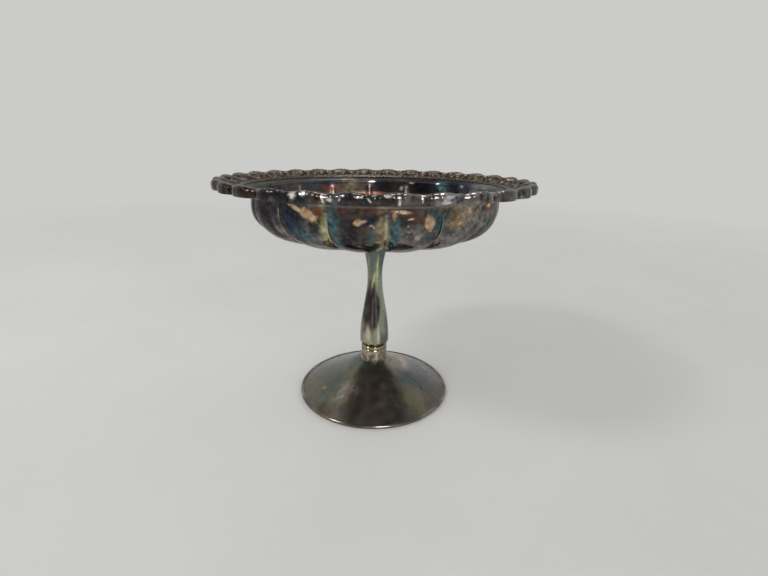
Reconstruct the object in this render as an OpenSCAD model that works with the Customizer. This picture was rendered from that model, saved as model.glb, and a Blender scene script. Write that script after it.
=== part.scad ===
// Footed compote bowl. Millimetres, +Z up, origin at the centre of the foot's underside.
// A lobed sheet metal bowl with an applied scalloped border stands on a turned stem,
// a collar and a spun cone foot. A rod through the stem ties bowl, stem, collar and
// foot together, with a washer and a nut inside the foot.

/* [Bowl] */
// Outside radius of the wall just below the rim
wall_r = 79.2; // [74:0.2:81]
// Height of the wall above the underside of the floor
wall_h = 33; // [26:0.5:44]
// Radius of the flat floor
floor_r = 15.2; // [13:0.2:24]
// Thickness of the sheet metal of bowl and foot
sheet_t = 1; // [0.8:0.1:1.4]
// Number of panels around the wall
lobe_count = 16; // [12:1:20]
// How far a panel swells out between two grooves
panel_swell = 1.7; // [0:0.1:2.4]
// Depth of the groove between two panels
groove_depth = 1.2; // [0.5:0.1:2.4]
// Half width of a groove
groove_w = 1.9; // [1.6:0.1:3.2]
// Inside radius of the bend from the wall into the rim
rim_bend_r = 2; // [1:0.1:3]
// Upward tilt of the rim sheet in degrees
rim_tilt = 10; // [4:0.5:16]

/* [Border] */
// Diameter over the tips of the scallops
rim_d = 203; // [197:1:215]
// Width of the border from its inner edge to a scallop tip
border_w = 16.2; // [12:0.2:16.8]
// Scallops on each of the six lengths of border
scallops_each = 5; // [3:1:6]
// How far a tip stands out beyond the valleys beside it
scallop_depth = 2.6; // [1:0.2:4]
// Width of the skirt that closes the edge of the rim sheet
skirt_w = 1.9; // [1:0.1:2.5]
// Height of the skirt below the top of the rim sheet
skirt_h = 1.7; // [1.5:0.1:2.4]
// Height of a scallop tip above the rim sheet
tip_h = 4.1; // [3.4:0.1:6]
// Drop from a tip to a valley
valley_drop = 1.6; // [0.4:0.1:2.4]
// Height of the border's inner edge above the rim sheet
lip_h = 0.7; // [0.4:0.1:1.2]
// Swell of the border's face between its inner edge and its tips
face_swell = 0.9; // [0:0.1:1.4]
// Roundness of the border's outer edge
edge_round = 2.6; // [1:0.1:3]
// How far the outer edge draws in toward its foot
edge_draw = 0.6; // [0:0.1:0.8]
// Height of the ornament above its ground
relief_h = 1.2; // [0:0.1:1.4]
// Rise of the leaf between two scallops above the valley there
leaf_rise = 0.6; // [0:0.1:1]
// Turn of the scallops against the grooves of the bowl in degrees
border_turn = 2; // [0:0.1:12]

/* [Stem] */
// Height of the stem
stem_h = 75; // [60:0.5:95]
// Radius at the top of the stem
stem_top_r = 10.3; // [8.5:0.1:11]
// Radius at the thinnest place
stem_neck_r = 5.2; // [4.4:0.1:6]
// Radius at the thickest place
stem_belly_r = 10.5; // [9:0.1:13]
// Height of the thinnest place as a share of the stem
stem_neck_at = 0.69; // [0.6:0.01:0.76]
// Height of the bevel below the thickest place
stem_bevel_h = 2.4; // [1:0.1:5]

/* [Collar] */
// Height of the collar
collar_h = 11.8; // [9:0.1:16]
// Radius of the collar
collar_r = 9.3; // [8.8:0.05:10]
// How far the collar spreads at its foot
collar_spread = 0.6; // [0:0.1:1.5]
// Height of that spread
collar_spread_h = 2.2; // [1:0.1:4]
// Depth below the collar's top of the thin line turned into it
collar_line_drop = 2.7; // [1.8:0.1:5]
// Width of that line
collar_line_w = 0.7; // [0.3:0.1:1]
// Depth of that line
collar_line_d = 0.5; // [0.2:0.05:0.8]
// Radius at the bottom of the groove between stem and collar
neck_groove_r = 7.9; // [7.6:0.1:8.6]
// Height of the collar's bevel up to that groove
collar_bevel = 0.8; // [0.6:0.1:1.6]

/* [Foot] */
// Diameter of the foot over its edge wire
foot_d = 110; // [96:1:130]
// Height of the cone up to the collar
foot_h = 24.6; // [22:0.2:40]
// Ledge of the cone's flat top around the collar
foot_ledge = 0.35; // [0.2:0.05:1]
// Radius of the edge wire
wire_r = 1.25; // [1:0.05:1.6]
// Height of the flat ground off the wire's underside
wire_flat = 0.25; // [0.15:0.05:0.4]

/* [Fastening] */
// Diameter of the tie rod
rod_d = 5; // [4:0.1:5.4]
// Room around the rod in the stem, the collar, the foot and the washer
rod_room = 0.3; // [0.1:0.05:0.6]
// Radius of the boss plate under the bowl
boss_r = 11; // [10:0.1:12]
// Thickness of the boss plate
boss_t = 1.2; // [0.8:0.1:2]
// Length of the boss spigot inside the stem
spigot_h = 5; // [3:0.5:8]
// Wall of the boss spigot around the rod
spigot_wall = 1.4; // [1:0.1:1.6]
// Diameter of the washer
washer_d = 15; // [12:0.5:16.5]
// Thickness of the washer
washer_t = 1.2; // [0.8:0.1:2]
// Nut size across its flats
nut_af = 8; // [7:0.1:10]
// Height of the nut
nut_h = 4; // [3:0.1:5]
// Length of rod below the nut
rod_end = 2; // [0.5:0.1:4]

/* [Fits] */
// Film of solder between soldered faces
solder_gap = 0.06; // [0.02:0.01:0.12]
// Radial gap between threads that hold the rod
thread_gap = 0.05; // [0.02:0.01:0.1]

/* [Hidden] */
// Node names, in the order in which they are built
// Node to draw, or "all"
// Facets of every round surface
$fn = 96;
// Metal colours
plate_color = [0.36, 0.33, 0.30];
border_color = [0.42, 0.38, 0.35];
brass_color = [0.62, 0.50, 0.28];
steel_color = [0.55, 0.56, 0.58];

// Heights of the stack, from the ground up
z_collar = foot_h;
z_stem = z_collar + collar_h;
z_boss = z_stem + stem_h;
z_bowl = z_boss + boss_t + solder_gap;

// Bore for the rod and the places along it
rod_r = rod_d / 2;
bore_r = rod_r + rod_room;
spigot_r = rod_r + spigot_wall;
socket_r = spigot_r + rod_room;
z_washer = foot_h - sheet_t - washer_t;
z_nut = z_washer - nut_h;

// Rim sheet: bend centre, outer edge and the plane of its upper face
rim_r = rim_d / 2;
bend_at = [wall_r + rim_bend_r, z_bowl + wall_h];
flange_r = rim_r - scallop_depth - skirt_w;
function rim_face(r, rise) = bend_at[1] + rise / cos(rim_tilt) + (r - bend_at[0]) * tan(rim_tilt);
function rim_top(r) = rim_face(r, rim_bend_r + sheet_t);
function rim_under(r) = rim_face(r, rim_bend_r);

// Cubic curve through four control points, and its direction
function curve(p, t) = pow(1 - t, 3) * p[0] + 3 * t * pow(1 - t, 2) * p[1]
    + 3 * t * t * (1 - t) * p[2] + pow(t, 3) * p[3];
function curve_dir(p, t) = pow(1 - t, 2) * (p[1] - p[0]) + 2 * t * (1 - t) * (p[2] - p[1])
    + t * t * (p[3] - p[2]);
function smooth(x) = let (c = min(1, max(0, x))) c * c * (3 - 2 * c);
function polar(r, a, z) = [r * cos(a), r * sin(a), z];

// Wall curve from the rim bend down to the flat floor, as radius and height
// Pull of the curve's two middle points, as shares of the wall's radius and height
wall_pull_high = [1.037, 0.497];
wall_pull_low = [0.926, 0.15];
wall_curve = [
    [wall_r, z_bowl + wall_h],
    [wall_r * wall_pull_high[0], z_bowl + wall_h * wall_pull_high[1]],
    [wall_r * wall_pull_low[0], z_bowl + wall_h * wall_pull_low[1]],
    [floor_r, z_bowl]
];
wall_steps = 12;
bend_steps = 3;
lobe_pitch = 360 / lobe_count;
// Places across one panel, closer together near the grooves
lobe_places = [0, 0.055, 0.12, 0.21, 0.345, 0.5, 0.655, 0.79, 0.88, 0.945];
bowl_angles = [for (k = [0 : lobe_count - 1]) for (s = lobe_places) (k + s) * lobe_pitch];

// Panels grow in below the rim and fade out toward the floor, over these shares of the wall curve
panel_start = 0.5;
panel_end = 0.5;
groove_start = 0.08;
groove_end = 0.4;
function panel_weight(t) = smooth(t / panel_start) * smooth((1 - t) / panel_end);
function groove_weight(t) = smooth(t / groove_start) * smooth((1 - t) / groove_end);
// A panel is an arch between two grooves, and a groove is a narrow valley
function groove_off(a) = abs(a - lobe_pitch * round(a / lobe_pitch));
function panel_arch(a) = panel_swell * (1 - pow(1 - 2 * groove_off(a) / lobe_pitch, 2));
function groove_cut(a, r) = groove_depth * exp(-pow(r * groove_off(a) * PI / 180 / groove_w, 2));

// One wall ring: radius, height, outward direction, panel weight and groove weight
function wall_ring(t, inset) =
    let (p = curve(wall_curve, t), d = curve_dir(wall_curve, t), n = [-d[1], d[0]] / norm(d))
    concat(p - n * inset, n, [panel_weight(t), groove_weight(t)]);
function plain_ring(r, z) = [r, z, 0, 0, 0, 0];
function bend_ring(a, r) = plain_ring(bend_at[0] + r * cos(a), bend_at[1] + r * sin(a));
function bend_angle(i) = 180 - (90 - rim_tilt) * i / bend_steps;

// All rings, from the outer floor edge over the rim to the inner floor edge
bowl_rings = concat(
    [for (i = [wall_steps : -1 : 0]) wall_ring(i / wall_steps, 0)],
    [for (i = [1 : bend_steps]) bend_ring(bend_angle(i), rim_bend_r)],
    [plain_ring(flange_r, rim_under(flange_r)), plain_ring(flange_r, rim_top(flange_r))],
    [for (i = [bend_steps : -1 : 1]) bend_ring(bend_angle(i), rim_bend_r + sheet_t)],
    [for (i = [0 : wall_steps]) wall_ring(i / wall_steps, sheet_t)]
);

module bowl() {
    around = len(bowl_angles);
    rings = len(bowl_rings);
    last = bowl_rings[rings - 1];
    skin = [for (g = bowl_rings) for (a = bowl_angles)
        let (s = g[4] * panel_arch(a) - g[5] * groove_cut(a, g[0]))
        polar(g[0] + g[2] * s, a, g[1] + g[3] * s)];
    under = len(skin);
    sides = [for (i = [0 : rings - 2]) for (j = [0 : around - 1])
        let (p = i * around + j, q = i * around + (j + 1) % around)
        each [[p, q + around, q], [p, p + around, q + around]]];
    floor_under = [for (j = [0 : around - 1]) [under, j, (j + 1) % around]];
    top = (rings - 1) * around;
    floor_top = [for (j = [0 : around - 1]) [under + 1, top + (j + 1) % around, top + j]];
    color(plate_color)
        polyhedron(concat(skin, [[0, 0, z_bowl], [0, 0, last[1]]]),
            concat(sides, floor_under, floor_top), convexity = 8);
}

// Scalloped border: one length covers a sixth of the rim
length_turn = 60;
places_each = 12;
border_in = rim_r - border_w;
valley_r = rim_r - scallop_depth;
tip_z = rim_top(flange_r) + tip_h;
skirt_z = rim_top(flange_r) - skirt_h;

// Rounded scallop with a narrow soft valley at each end, over u from 0 to 1
scallop_power = 0.65;
valley_soft = 0.02;
function scallop_lift(s) = pow(s * s + valley_soft, scallop_power / 2);
function scallop(u) =
    (scallop_lift(sin(180 * u)) - scallop_lift(0)) / (scallop_lift(1) - scallop_lift(0));

// Ornament of one scallop: a bead along the inner edge, a fan that opens toward the tip, a scroll on
// each side of the fan's foot and a leaf in each valley, as shares of the border's width and the scallop's
ornament_r = rim_r - 0.4 * border_w;
repeat_w = ornament_r * length_turn * PI / 180 / scallops_each;
bead_w = 0.1 * border_w;
fan_foot = 0.31 * border_w;
fan_spread = 48;
scroll_at = [0.33 * repeat_w, 0.3 * border_w];
scroll_r = 0.15 * border_w;
leaf_at = [repeat_w / 2, 0.7 * border_w];
leaf_half = [0.065 * repeat_w, 0.2 * border_w];
// Width of the slope from the ground up to a high place, and the border's least height above the sheet
relief_slope = 1.6;
ground_h = 0.5;

// Height of the ornament from 0 to 1, at x from the scallop's middle and y from the inner edge
function raised(far, reach) = smooth((reach - far) / relief_slope + 0.5);
function leaf_far(x, y) =
    leaf_half[0] * norm([(leaf_at[0] - x) / leaf_half[0], (leaf_at[1] - y) / leaf_half[1]]);
function ornament(x, y) = max(
    raised(y, bead_w),
    raised(x, (y - fan_foot) * tan(fan_spread)),
    raised(norm([x, y] - scroll_at), scroll_r),
    raised(leaf_far(x, y), leaf_half[0]));

// Places across the face, and angles of the rounded edge from there down to its widest place
face_places = [0, 0.1, 0.17, 0.26, 0.35, 0.44, 0.53, 0.63, 0.75, 0.88, 1];
edge_angles = [60, 30, 0];
// Share of the edge's height that lies below its widest place
edge_low = 0.55;
// Share of the face's swell that is left at a valley
valley_swell = 0.35;
// Shares of the face's width at which the leaf begins to lift it, and at which a plain edge begins
leaf_start = 0.7;
plain_start = 0.88;

// Height of the face at radius r and place v across it, with the ornament's ground cut down from z
function face_z(x, r, v, z) =
    let (plain = smooth((v - plain_start) / (1 - plain_start)),
        cut = relief_h * (1 - max(ornament(x, r - border_in), plain)))
    z - min(cut, max(0, z - rim_top(r) - ground_h));

// Section of the border at place u of a scallop, as radius and height
function border_section(u) =
    let (c = scallop(u),
        x = abs(u - 0.5) * repeat_w,
        lift = leaf_rise * exp(-pow((leaf_at[0] - x) / leaf_half[0], 2)),
        swell = face_swell * (valley_swell + (1 - valley_swell) * c),
        edge_r = valley_r + scallop_depth * c,
        edge_z = tip_z - valley_drop * (1 - c),
        wide_z = skirt_z + edge_low * (edge_z + lift - skirt_z),
        from = [border_in, rim_top(border_in) + lip_h],
        to = [edge_r - edge_round, edge_z])
    concat(
        [[border_in, rim_top(border_in) + solder_gap]],
        [for (v = face_places)
            let (p = from + v * (to - from),
                z = p[1] + swell * sin(180 * v) + lift * smooth((v - leaf_start) / (1 - leaf_start)))
            [p[0], face_z(x, p[0], v, z)]],
        [for (a = edge_angles)
            [edge_r - edge_round * (1 - cos(a)), wide_z + (edge_z + lift - wide_z) * sin(a)]],
        [[edge_r - edge_draw, skirt_z],
            [flange_r + solder_gap, skirt_z],
            [flange_r + solder_gap, rim_top(flange_r) + solder_gap]]
    );

// One length, with half a solder film left free at each end
module border_length(index) {
    count = scallops_each * places_each;
    film = solder_gap / 2 / flange_r * 180 / PI;
    span = length_turn - 2 * film;
    start = border_turn + index * length_turn + film;
    size = len(border_section(0));
    skin = [for (i = [0 : count]) for (p = border_section((i % places_each) / places_each))
        polar(p[0], start + span * i / count, p[1])];
    sides = [for (i = [0 : count - 1]) for (j = [0 : size - 1])
        let (p = i * size + j, q = i * size + (j + 1) % size)
        each [[p, q, q + size], [p, q + size, p + size]]];
    first_end = [for (j = [size - 1 : -1 : 0]) j];
    last_end = [for (j = [0 : size - 1]) count * size + j];
    color(border_color)
        polyhedron(skin, concat(sides, [first_end, last_end]), convexity = 8);
}

module border_1() {
    border_length(0);
}

module border_2() {
    border_length(1);
}

module border_3() {
    border_length(2);
}

module border_4() {
    border_length(3);
}

module border_5() {
    border_length(4);
}

module border_6() {
    border_length(5);
}

// Plate soldered under the bowl, with a threaded spigot that centres the stem
module bowl_boss() {
    color(brass_color)
        difference() {
            union() {
                translate([0, 0, z_boss])
                    cylinder(r = boss_r, h = boss_t);
                translate([0, 0, z_boss - spigot_h])
                    cylinder(r = spigot_r, h = spigot_h + boss_t);
            }
            translate([0, 0, z_boss - spigot_h - 1])
                cylinder(r = rod_r + thread_gap, h = spigot_h + 1);
        }
}

// Rod from the boss down through stem, collar and foot
module tie_rod() {
    z_low = z_nut - rod_end;
    point = rod_r / 4;
    color(steel_color)
        rotate_extrude()
            polygon([[0, z_low], [rod_r - point, z_low], [rod_r, z_low + point],
                [rod_r, z_boss], [0, z_boss]]);
}

// Turned stem: flared top, thin neck, full belly and a bevel to the groove
stem_steps = 16;
neck_z = z_stem + stem_h * stem_neck_at;
belly_z = z_stem + stem_bevel_h;
// Pull of each curve's middle points, as shares of its width and height
flare_pull = [0.36, 0.25];
flare_end = 0.615;
belly_start = 0.345;
belly_end = 0.433;
flare_curve = [
    [stem_top_r, z_boss],
    [stem_neck_r + flare_pull[0] * (stem_top_r - stem_neck_r), z_boss - flare_pull[1] * (z_boss - neck_z)],
    [stem_neck_r, z_boss - flare_end * (z_boss - neck_z)],
    [stem_neck_r, neck_z]
];
belly_curve = [
    [stem_neck_r, neck_z],
    [stem_neck_r, neck_z - belly_start * (neck_z - belly_z)],
    [stem_belly_r, belly_z + belly_end * (neck_z - belly_z)],
    [stem_belly_r, belly_z]
];

module stem() {
    outline = concat(
        [for (i = [0 : stem_steps - 1]) curve(flare_curve, i / stem_steps)],
        [for (i = [0 : stem_steps]) curve(belly_curve, i / stem_steps)],
        [[neck_groove_r, z_stem]]
    );
    socket_z = z_boss - spigot_h - rod_room;
    color(plate_color)
        rotate_extrude()
            polygon(concat(outline, [[bore_r, z_stem], [bore_r, socket_z],
                [socket_r, socket_z], [socket_r, z_boss]]));
}

// Collar between stem and foot, spread at its foot, with a turned line and a bevel to the groove
collar_foot_r = collar_r + collar_spread;
module collar() {
    z_line = z_stem - collar_line_drop - collar_line_w;
    color(plate_color)
        rotate_extrude()
            polygon([[bore_r, z_collar], [collar_foot_r, z_collar], [collar_r, z_collar + collar_spread_h],
                [collar_r, z_line], [collar_r - collar_line_d, z_line + collar_line_w / 2],
                [collar_r, z_line + collar_line_w], [collar_r, z_stem - collar_bevel],
                [neck_groove_r, z_stem], [bore_r, z_stem]]);
}

// Edge wire of the foot and the two lines of the cone
wire_at = [foot_d / 2 - wire_r, wire_r - wire_flat];
cone_top_r = collar_foot_r + foot_ledge;
cone_end = [wire_at[0] + wire_r / 2, wire_at[1]];
cone_run = cone_end - [cone_top_r, foot_h];
cone_in = [cone_run[1], -cone_run[0]] / norm(cone_run) * sheet_t;
cone_slope = cone_run[1] / cone_run[0];
seat_r = cone_top_r + cone_in[0] - (sheet_t + cone_in[1]) / cone_slope;

// Spun cone with a flat top, its lower edge seated around the wire
module foot() {
    color(plate_color)
        rotate_extrude()
            difference() {
                polygon([[bore_r, foot_h], [cone_top_r, foot_h], cone_end, cone_end + cone_in,
                    [seat_r, foot_h - sheet_t], [bore_r, foot_h - sheet_t]]);
                translate(wire_at)
                    circle(r = wire_r + solder_gap);
            }
}

// Round wire soldered along the foot's edge, ground flat underneath
module foot_wire() {
    color(plate_color)
        rotate_extrude()
            intersection() {
                translate(wire_at)
                    circle(r = wire_r);
                translate([wire_at[0] - 2 * wire_r, 0])
                    square([4 * wire_r, 4 * wire_r]);
            }
}

module washer() {
    color(brass_color)
        translate([0, 0, z_washer])
            difference() {
                cylinder(d = washer_d, h = washer_t);
                translate([0, 0, -1])
                    cylinder(r = bore_r, h = washer_t + 2);
            }
}

module nut() {
    color(steel_color)
        translate([0, 0, z_nut])
            difference() {
                cylinder(d = nut_af / cos(30), h = nut_h, $fn = 6);
                translate([0, 0, -1])
                    cylinder(r = rod_r + thread_gap, h = nut_h + 2);
            }
}

bowl();
border_1();
border_2();
border_3();
border_4();
border_5();
border_6();
bowl_boss();
tie_rod();
stem();
collar();
foot();
foot_wire();
washer();
nut();
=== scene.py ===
"""Looks of the footed compote bowl: tarnished silver plate over copper, on a plain pale floor."""

import math

import bpy
import numpy as np
from mathutils import Matrix, Vector


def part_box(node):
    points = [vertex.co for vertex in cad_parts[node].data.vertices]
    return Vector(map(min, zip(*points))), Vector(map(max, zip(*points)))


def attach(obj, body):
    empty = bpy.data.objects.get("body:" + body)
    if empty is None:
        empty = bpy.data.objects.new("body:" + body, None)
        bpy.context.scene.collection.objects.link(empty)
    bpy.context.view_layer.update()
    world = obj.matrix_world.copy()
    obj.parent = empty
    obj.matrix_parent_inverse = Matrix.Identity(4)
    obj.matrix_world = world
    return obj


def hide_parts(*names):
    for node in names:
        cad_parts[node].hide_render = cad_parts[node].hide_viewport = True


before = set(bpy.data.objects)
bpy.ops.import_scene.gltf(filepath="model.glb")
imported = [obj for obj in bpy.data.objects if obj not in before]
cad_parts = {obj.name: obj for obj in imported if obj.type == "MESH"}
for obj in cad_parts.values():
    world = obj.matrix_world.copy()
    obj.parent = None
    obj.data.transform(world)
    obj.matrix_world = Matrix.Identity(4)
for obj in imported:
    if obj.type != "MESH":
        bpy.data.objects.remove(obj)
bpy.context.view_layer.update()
scene = bpy.context.scene

MM = 0.001
TURN = 2 * math.pi
# The photographed front, as an angle around the axis
FRONT = -math.pi / 2

# Sizes of the bowl's sheet, in millimetres like all sizes of pieces here
SHEET = 1.0
WALL_R, WALL_H, FLOOR_R = 79.2, 33.0, 15.2
BEND_R, RIM_TILT = 2.0, math.radians(10)
# Panels swell between pressed grooves, and both fade over shares of the wall at its ends
LOBES, SWELL, PANEL_START, PANEL_END = 16, 1.7, 0.5, 0.5
GROOVE_DEPTH, GROOVE_W, GROOVE_START, GROOVE_END = 1.2, 1.9, 0.08, 0.4
# Depth of the dents in the sheet, with their wave length and seed
DENT, DENT_LENGTH, DENT_SEED = 0.10, 24, 3

# Sizes of the border
RIM_R, BORDER_W = 101.5, 16.2
SCALLOPS, LENGTHS, BORDER_TURN = 30, 6, math.radians(2)
SCALLOP_DEPTH, VALLEY_DROP, TIP_H = 2.6, 1.6, 4.1
SKIRT_W, SKIRT_H, LIP_H = 1.9, 1.7, 0.7
FACE_SWELL, LEAF_RISE, LEAF_W = 0.9, 0.6, 1.3
EDGE_ROUND, EDGE_DRAW, EDGE_LOW = 2.6, 0.6, 0.55
# Room for solder
FILM_GAP = 0.06

# Sizes of the stem, the collar, the foot and its wire
STEM_TOP_R, STEM_NECK_R, STEM_BELLY_R, STEM_FOOT_R = 10.3, 5.2, 10.5, 7.9
NECK_AT, STEM_BEVEL_H = 0.69, 2.4
BORE_R, SOCKET_R, SOCKET_H = 2.8, 4.2, 5.3
COLLAR_R, COLLAR_BEVEL, COLLAR_SPREAD, COLLAR_SPREAD_H = 9.3, 0.8, 0.6, 2.2
COLLAR_LINE_DROP, COLLAR_LINE_W, COLLAR_LINE_D = 2.7, 0.7, 0.5
FOOT_R, FOOT_LEDGE, WIRE_R, WIRE_FLAT = 55.0, 0.35, 1.25, 0.25
# Softening of turned edges
EDGE_SOFT = 0.2

# Heights of the solids that the skins rest on
Z_BOWL, Z_STEM, Z_COLLAR = (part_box(node)[0][2] / MM for node in ("bowl", "stem", "collar"))
Z_STEM_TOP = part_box("stem")[1][2] / MM


# Blends, curves and seeded noise


def smooth(x):
    x = np.clip(x, 0, 1)
    return x * x * (3 - 2 * x)


def fade(x, start, reach):
    """Weight that grows from 0 at the start to 1 at its reach, which is negative if it grows downward."""
    return smooth((x - start) / reach)


def mix(a, b, w):
    return a + (b - a) * w


def wrapped(angle):
    """Angle from minus to plus half a turn."""
    return (angle + math.pi) % TURN - math.pi


def curve(control, t):
    """Points of a cubic curve, and its directions, for each t."""
    p = np.asarray(control, float)
    t = np.asarray(t, float)[:, None]
    s = 1 - t
    place_at = s**3 * p[0] + 3 * t * s**2 * p[1] + 3 * t * t * s * p[2] + t**3 * p[3]
    way = s**2 * (p[1] - p[0]) + 2 * t * s * (p[2] - p[1]) + t * t * (p[3] - p[2])
    return place_at, way


# Waves in a layer of noise, the spread of their lengths, and what brings their sum to about 1
WAVES, WAVE_SPREAD, WAVE_LEVEL = 28, (0.7, 1.5), 1.6


def waves(points, length, seed):
    """Smooth noise of about -1 to 1 over the points, with waves of about that length."""
    rng = np.random.default_rng(seed)
    flat = points.reshape(-1, 3)
    total = np.zeros(len(flat))
    for _ in range(WAVES):
        direction = rng.normal(size=3)
        direction /= np.linalg.norm(direction)
        number = TURN / (length * rng.uniform(*WAVE_SPREAD))
        total += np.sin(flat @ direction * number + rng.uniform(0, TURN))
    return (total / math.sqrt(WAVES / 2) / WAVE_LEVEL).reshape(points.shape[:-1])


def layered(points, layers):
    """Sum of layers of noise, each given as weight, wave length and seed."""
    return sum(weight * waves(points, length, seed) for weight, length, seed in layers)


# Mesh helpers

# Edges of turned pieces are sharp above this angle
SHARP = math.radians(60)


def shown(name, data):
    """Puts a mesh, light or camera into the scene."""
    made = bpy.data.objects.new(name, data)
    scene.collection.objects.link(made)
    return made


def write_values(mesh, key, value):
    """Keeps a colour or a number for each point of a mesh."""
    kind, field = "FLOAT", "value"
    if value.ndim == 3:
        kind, field = "FLOAT_COLOR", "color"
        value = np.pad(value, ((0, 0), (0, 0), (0, 1)), constant_values=1)
    layer = mesh.attributes.new(key, kind, "POINT")
    layer.data.foreach_set(field, np.ascontiguousarray(value, np.float32).ravel())


def grid_mesh(name, points, values, section_closes, ring_closes):
    """Closed skin over rows of points, where rows run up the outside and columns counter-clockwise.

    A section that closes joins the last row to the first, and a ring that closes the last column to
    the first. Ends that stay open get a cap.
    """
    rows, columns = points.shape[:2]
    index = np.arange(rows * columns).reshape(rows, columns)
    grid = np.concatenate([index, index[:1]]) if section_closes else index
    grid = np.concatenate([grid, grid[:, :1]], 1) if ring_closes else grid
    corners = [grid[:-1, :-1], grid[:-1, 1:], grid[1:, 1:], grid[1:, :-1]]
    faces = np.stack(corners, -1).reshape(-1, 4).tolist()
    if not section_closes:
        faces += [index[0, ::-1].tolist(), index[-1].tolist()]
    if not ring_closes:
        faces += [index[:, 0].tolist(), index[::-1, -1].tolist()]
    mesh = bpy.data.meshes.new(name)
    mesh.from_pydata((points.reshape(-1, 3) * MM).tolist(), [], faces)
    mesh.shade_smooth()
    if ring_closes:
        mesh.set_sharp_from_angle(angle=SHARP)
    for key, value in values.items():
        write_values(mesh, key, value)
    mesh.validate()
    return shown(name, mesh)


def ringed(r, z, angle):
    """Points at each angle around the axis, from radius and height."""
    return np.stack([r * np.cos(angle), r * np.sin(angle), z + 0 * angle], -1)


def lathe_points(outline, columns):
    """Rings of points from an outline of radius and height."""
    outline = np.asarray(outline, float)
    return ringed(outline[:, 0, None], outline[:, 1, None], np.arange(columns) / columns * TURN)


def place(piece, material, node):
    """Dresses a piece and puts it in the place of a node of the solids."""
    piece.data.materials.append(material)
    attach(piece, "root")
    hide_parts(node)


# Tints of the tarnish film, as base colours of the metal, and tints of painted highlights and painted dark
# reflection

# Near black, for painted dark reflection inside the bowl
REFLECTION_BLACK = (0.008, 0.009, 0.012)
INK = (0.022, 0.022, 0.026)
MIDNIGHT = (0.016, 0.025, 0.052)
UMBER = (0.06, 0.048, 0.04)
LACE = (0.082, 0.066, 0.048)
BROWN = (0.135, 0.092, 0.066)
RUST = (0.3, 0.105, 0.05)
GLOW = (0.75, 0.26, 0.1)
DRAB = (0.185, 0.165, 0.15)
GREY = (0.27, 0.26, 0.255)
MAUVE = (0.225, 0.195, 0.21)
PURPLE = (0.135, 0.112, 0.165)
LILAC = (0.42, 0.35, 0.375)
BLUSH = (0.47, 0.4, 0.345)
ROSE = (0.8, 0.66, 0.58)
NAVY = (0.045, 0.07, 0.13)
SLATE = (0.11, 0.15, 0.19)
STEEL = (0.17, 0.195, 0.215)
TEAL = (0.06, 0.15, 0.17)
CYAN = (0.13, 0.33, 0.38)
SAGE = (0.19, 0.225, 0.19)
MOSS = (0.3, 0.33, 0.16)
MINT = (0.33, 0.37, 0.28)
LIME = (0.62, 0.64, 0.34)
OLIVE = (0.27, 0.25, 0.15)
GOLD = (0.33, 0.225, 0.105)
TAN = (0.42, 0.33, 0.22)
STRAW = (0.48, 0.44, 0.28)
CREAM = (0.64, 0.62, 0.54)
# Pale blue, for painted highlights inside the bowl
GLINT_BLUE = (0.86, 0.95, 1.00)
# Near white, for the painted highlights on the border's edge
GLINT_WHITE = (0.97, 0.96, 0.94)
FOOT_GROUND = (0.185, 0.172, 0.14)


# Painting on the skins


def shaded(tint, change):
    """A tint made lighter or darker over a surface."""
    return np.array(tint) * (1 + change)[..., None]


def washed(tints, tint, weight):
    """Tints of a surface blended toward one tint."""
    return tints + (np.array(tint) - tints) * weight[..., None]


def clouded(tints, points, washes, within=1.0):
    """Tints blended in seeded patches: tint, share, wave length, seed, and where the patch fades in."""
    for tint, share, length, seed, start, reach in washes:
        patches = fade(waves(points, length, seed), start, reach)
        tints = washed(tints, tint, share * within * patches)
    return tints


def marked(tints, wall, washes, ragged, within=1.0):
    """Tints blended over groups of marks: tint, share, marks and softness of their edges."""
    for tint, share, marks, soft in washes:
        tints = washed(tints, tint, share * within * wall.ovals(marks, soft, ragged))
    return tints


class Wall:
    """Where each point of a round skin lies, for marks on it.

    A mark has an angle to the right of the front in degrees, a height above the wall's base, half its
    width, half its height, and a tilt unless it is level.
    """

    def __init__(self, points, base):
        self.angle = np.arctan2(points[..., 1], points[..., 0])
        self.radius = np.hypot(points[..., 0], points[..., 1])
        self.rise = points[..., 2] - base

    def reach(self, mark):
        """Distance from the middle of a mark, which is 1 at its edge."""
        degrees, height, half_w, half_h, tilt = (*mark, 0)[:5]
        turn = wrapped(self.angle - FRONT - math.radians(degrees))
        x, y = turn * self.radius, self.rise - height
        c, s = math.cos(tilt), math.sin(tilt)
        return np.hypot((c * x + s * y) / half_w, (c * y - s * x) / half_h)

    def ovals(self, marks, soft, ragged):
        """Weight of a group of marks with edges of that softness."""
        total = 0 * self.rise
        for mark in marks:
            total = np.maximum(total, smooth((1 + soft / 2 - self.reach(mark) - ragged) / soft))
        return total

    def drawn(self, tints, marks, cloudy):
        """Tints drawn softly toward those of the marks, each given after its tint and pull."""
        pulls = 1.0
        for tint, pull, *mark in marks:
            weight = (pull * np.exp(-((self.reach(mark) + cloudy) ** 2)))[..., None]
            tints = tints + weight * np.array(tint)
            pulls = pulls + weight
        return tints / pulls


# Seeded marks at the sides and back: angles in degrees, height for width, and tilt
SPOT_SIDE, SPOT_ASPECT, SPOT_TILT = (70, 290), (0.5, 1.2), (-0.8, 0.8)
STRING_SIDE, STRING_ASPECT, STRING_TILT = (72, 288), (0.25, 0.6), (-0.9, 0.9)
# Marks in a string, and how each lies to the one before: turned, stepped and made smaller
STRING_COUNT, STRING_SWAY, STRING_STEP, STRING_SHRINK = (2, 5), (-0.4, 0.4), (0.7, 1.3), (0.45, 0.85)


def scattered(seed, count, heights, sizes):
    """Marks at seeded places."""
    rng = np.random.default_rng(seed)
    marks = []
    for _ in range(count):
        size = rng.uniform(*sizes)
        turn = rng.uniform(*SPOT_SIDE)
        height = rng.uniform(*heights)
        tall = size * rng.uniform(*SPOT_ASPECT)
        marks.append((turn, height, size, tall, rng.uniform(*SPOT_TILT)))
    return marks


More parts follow.
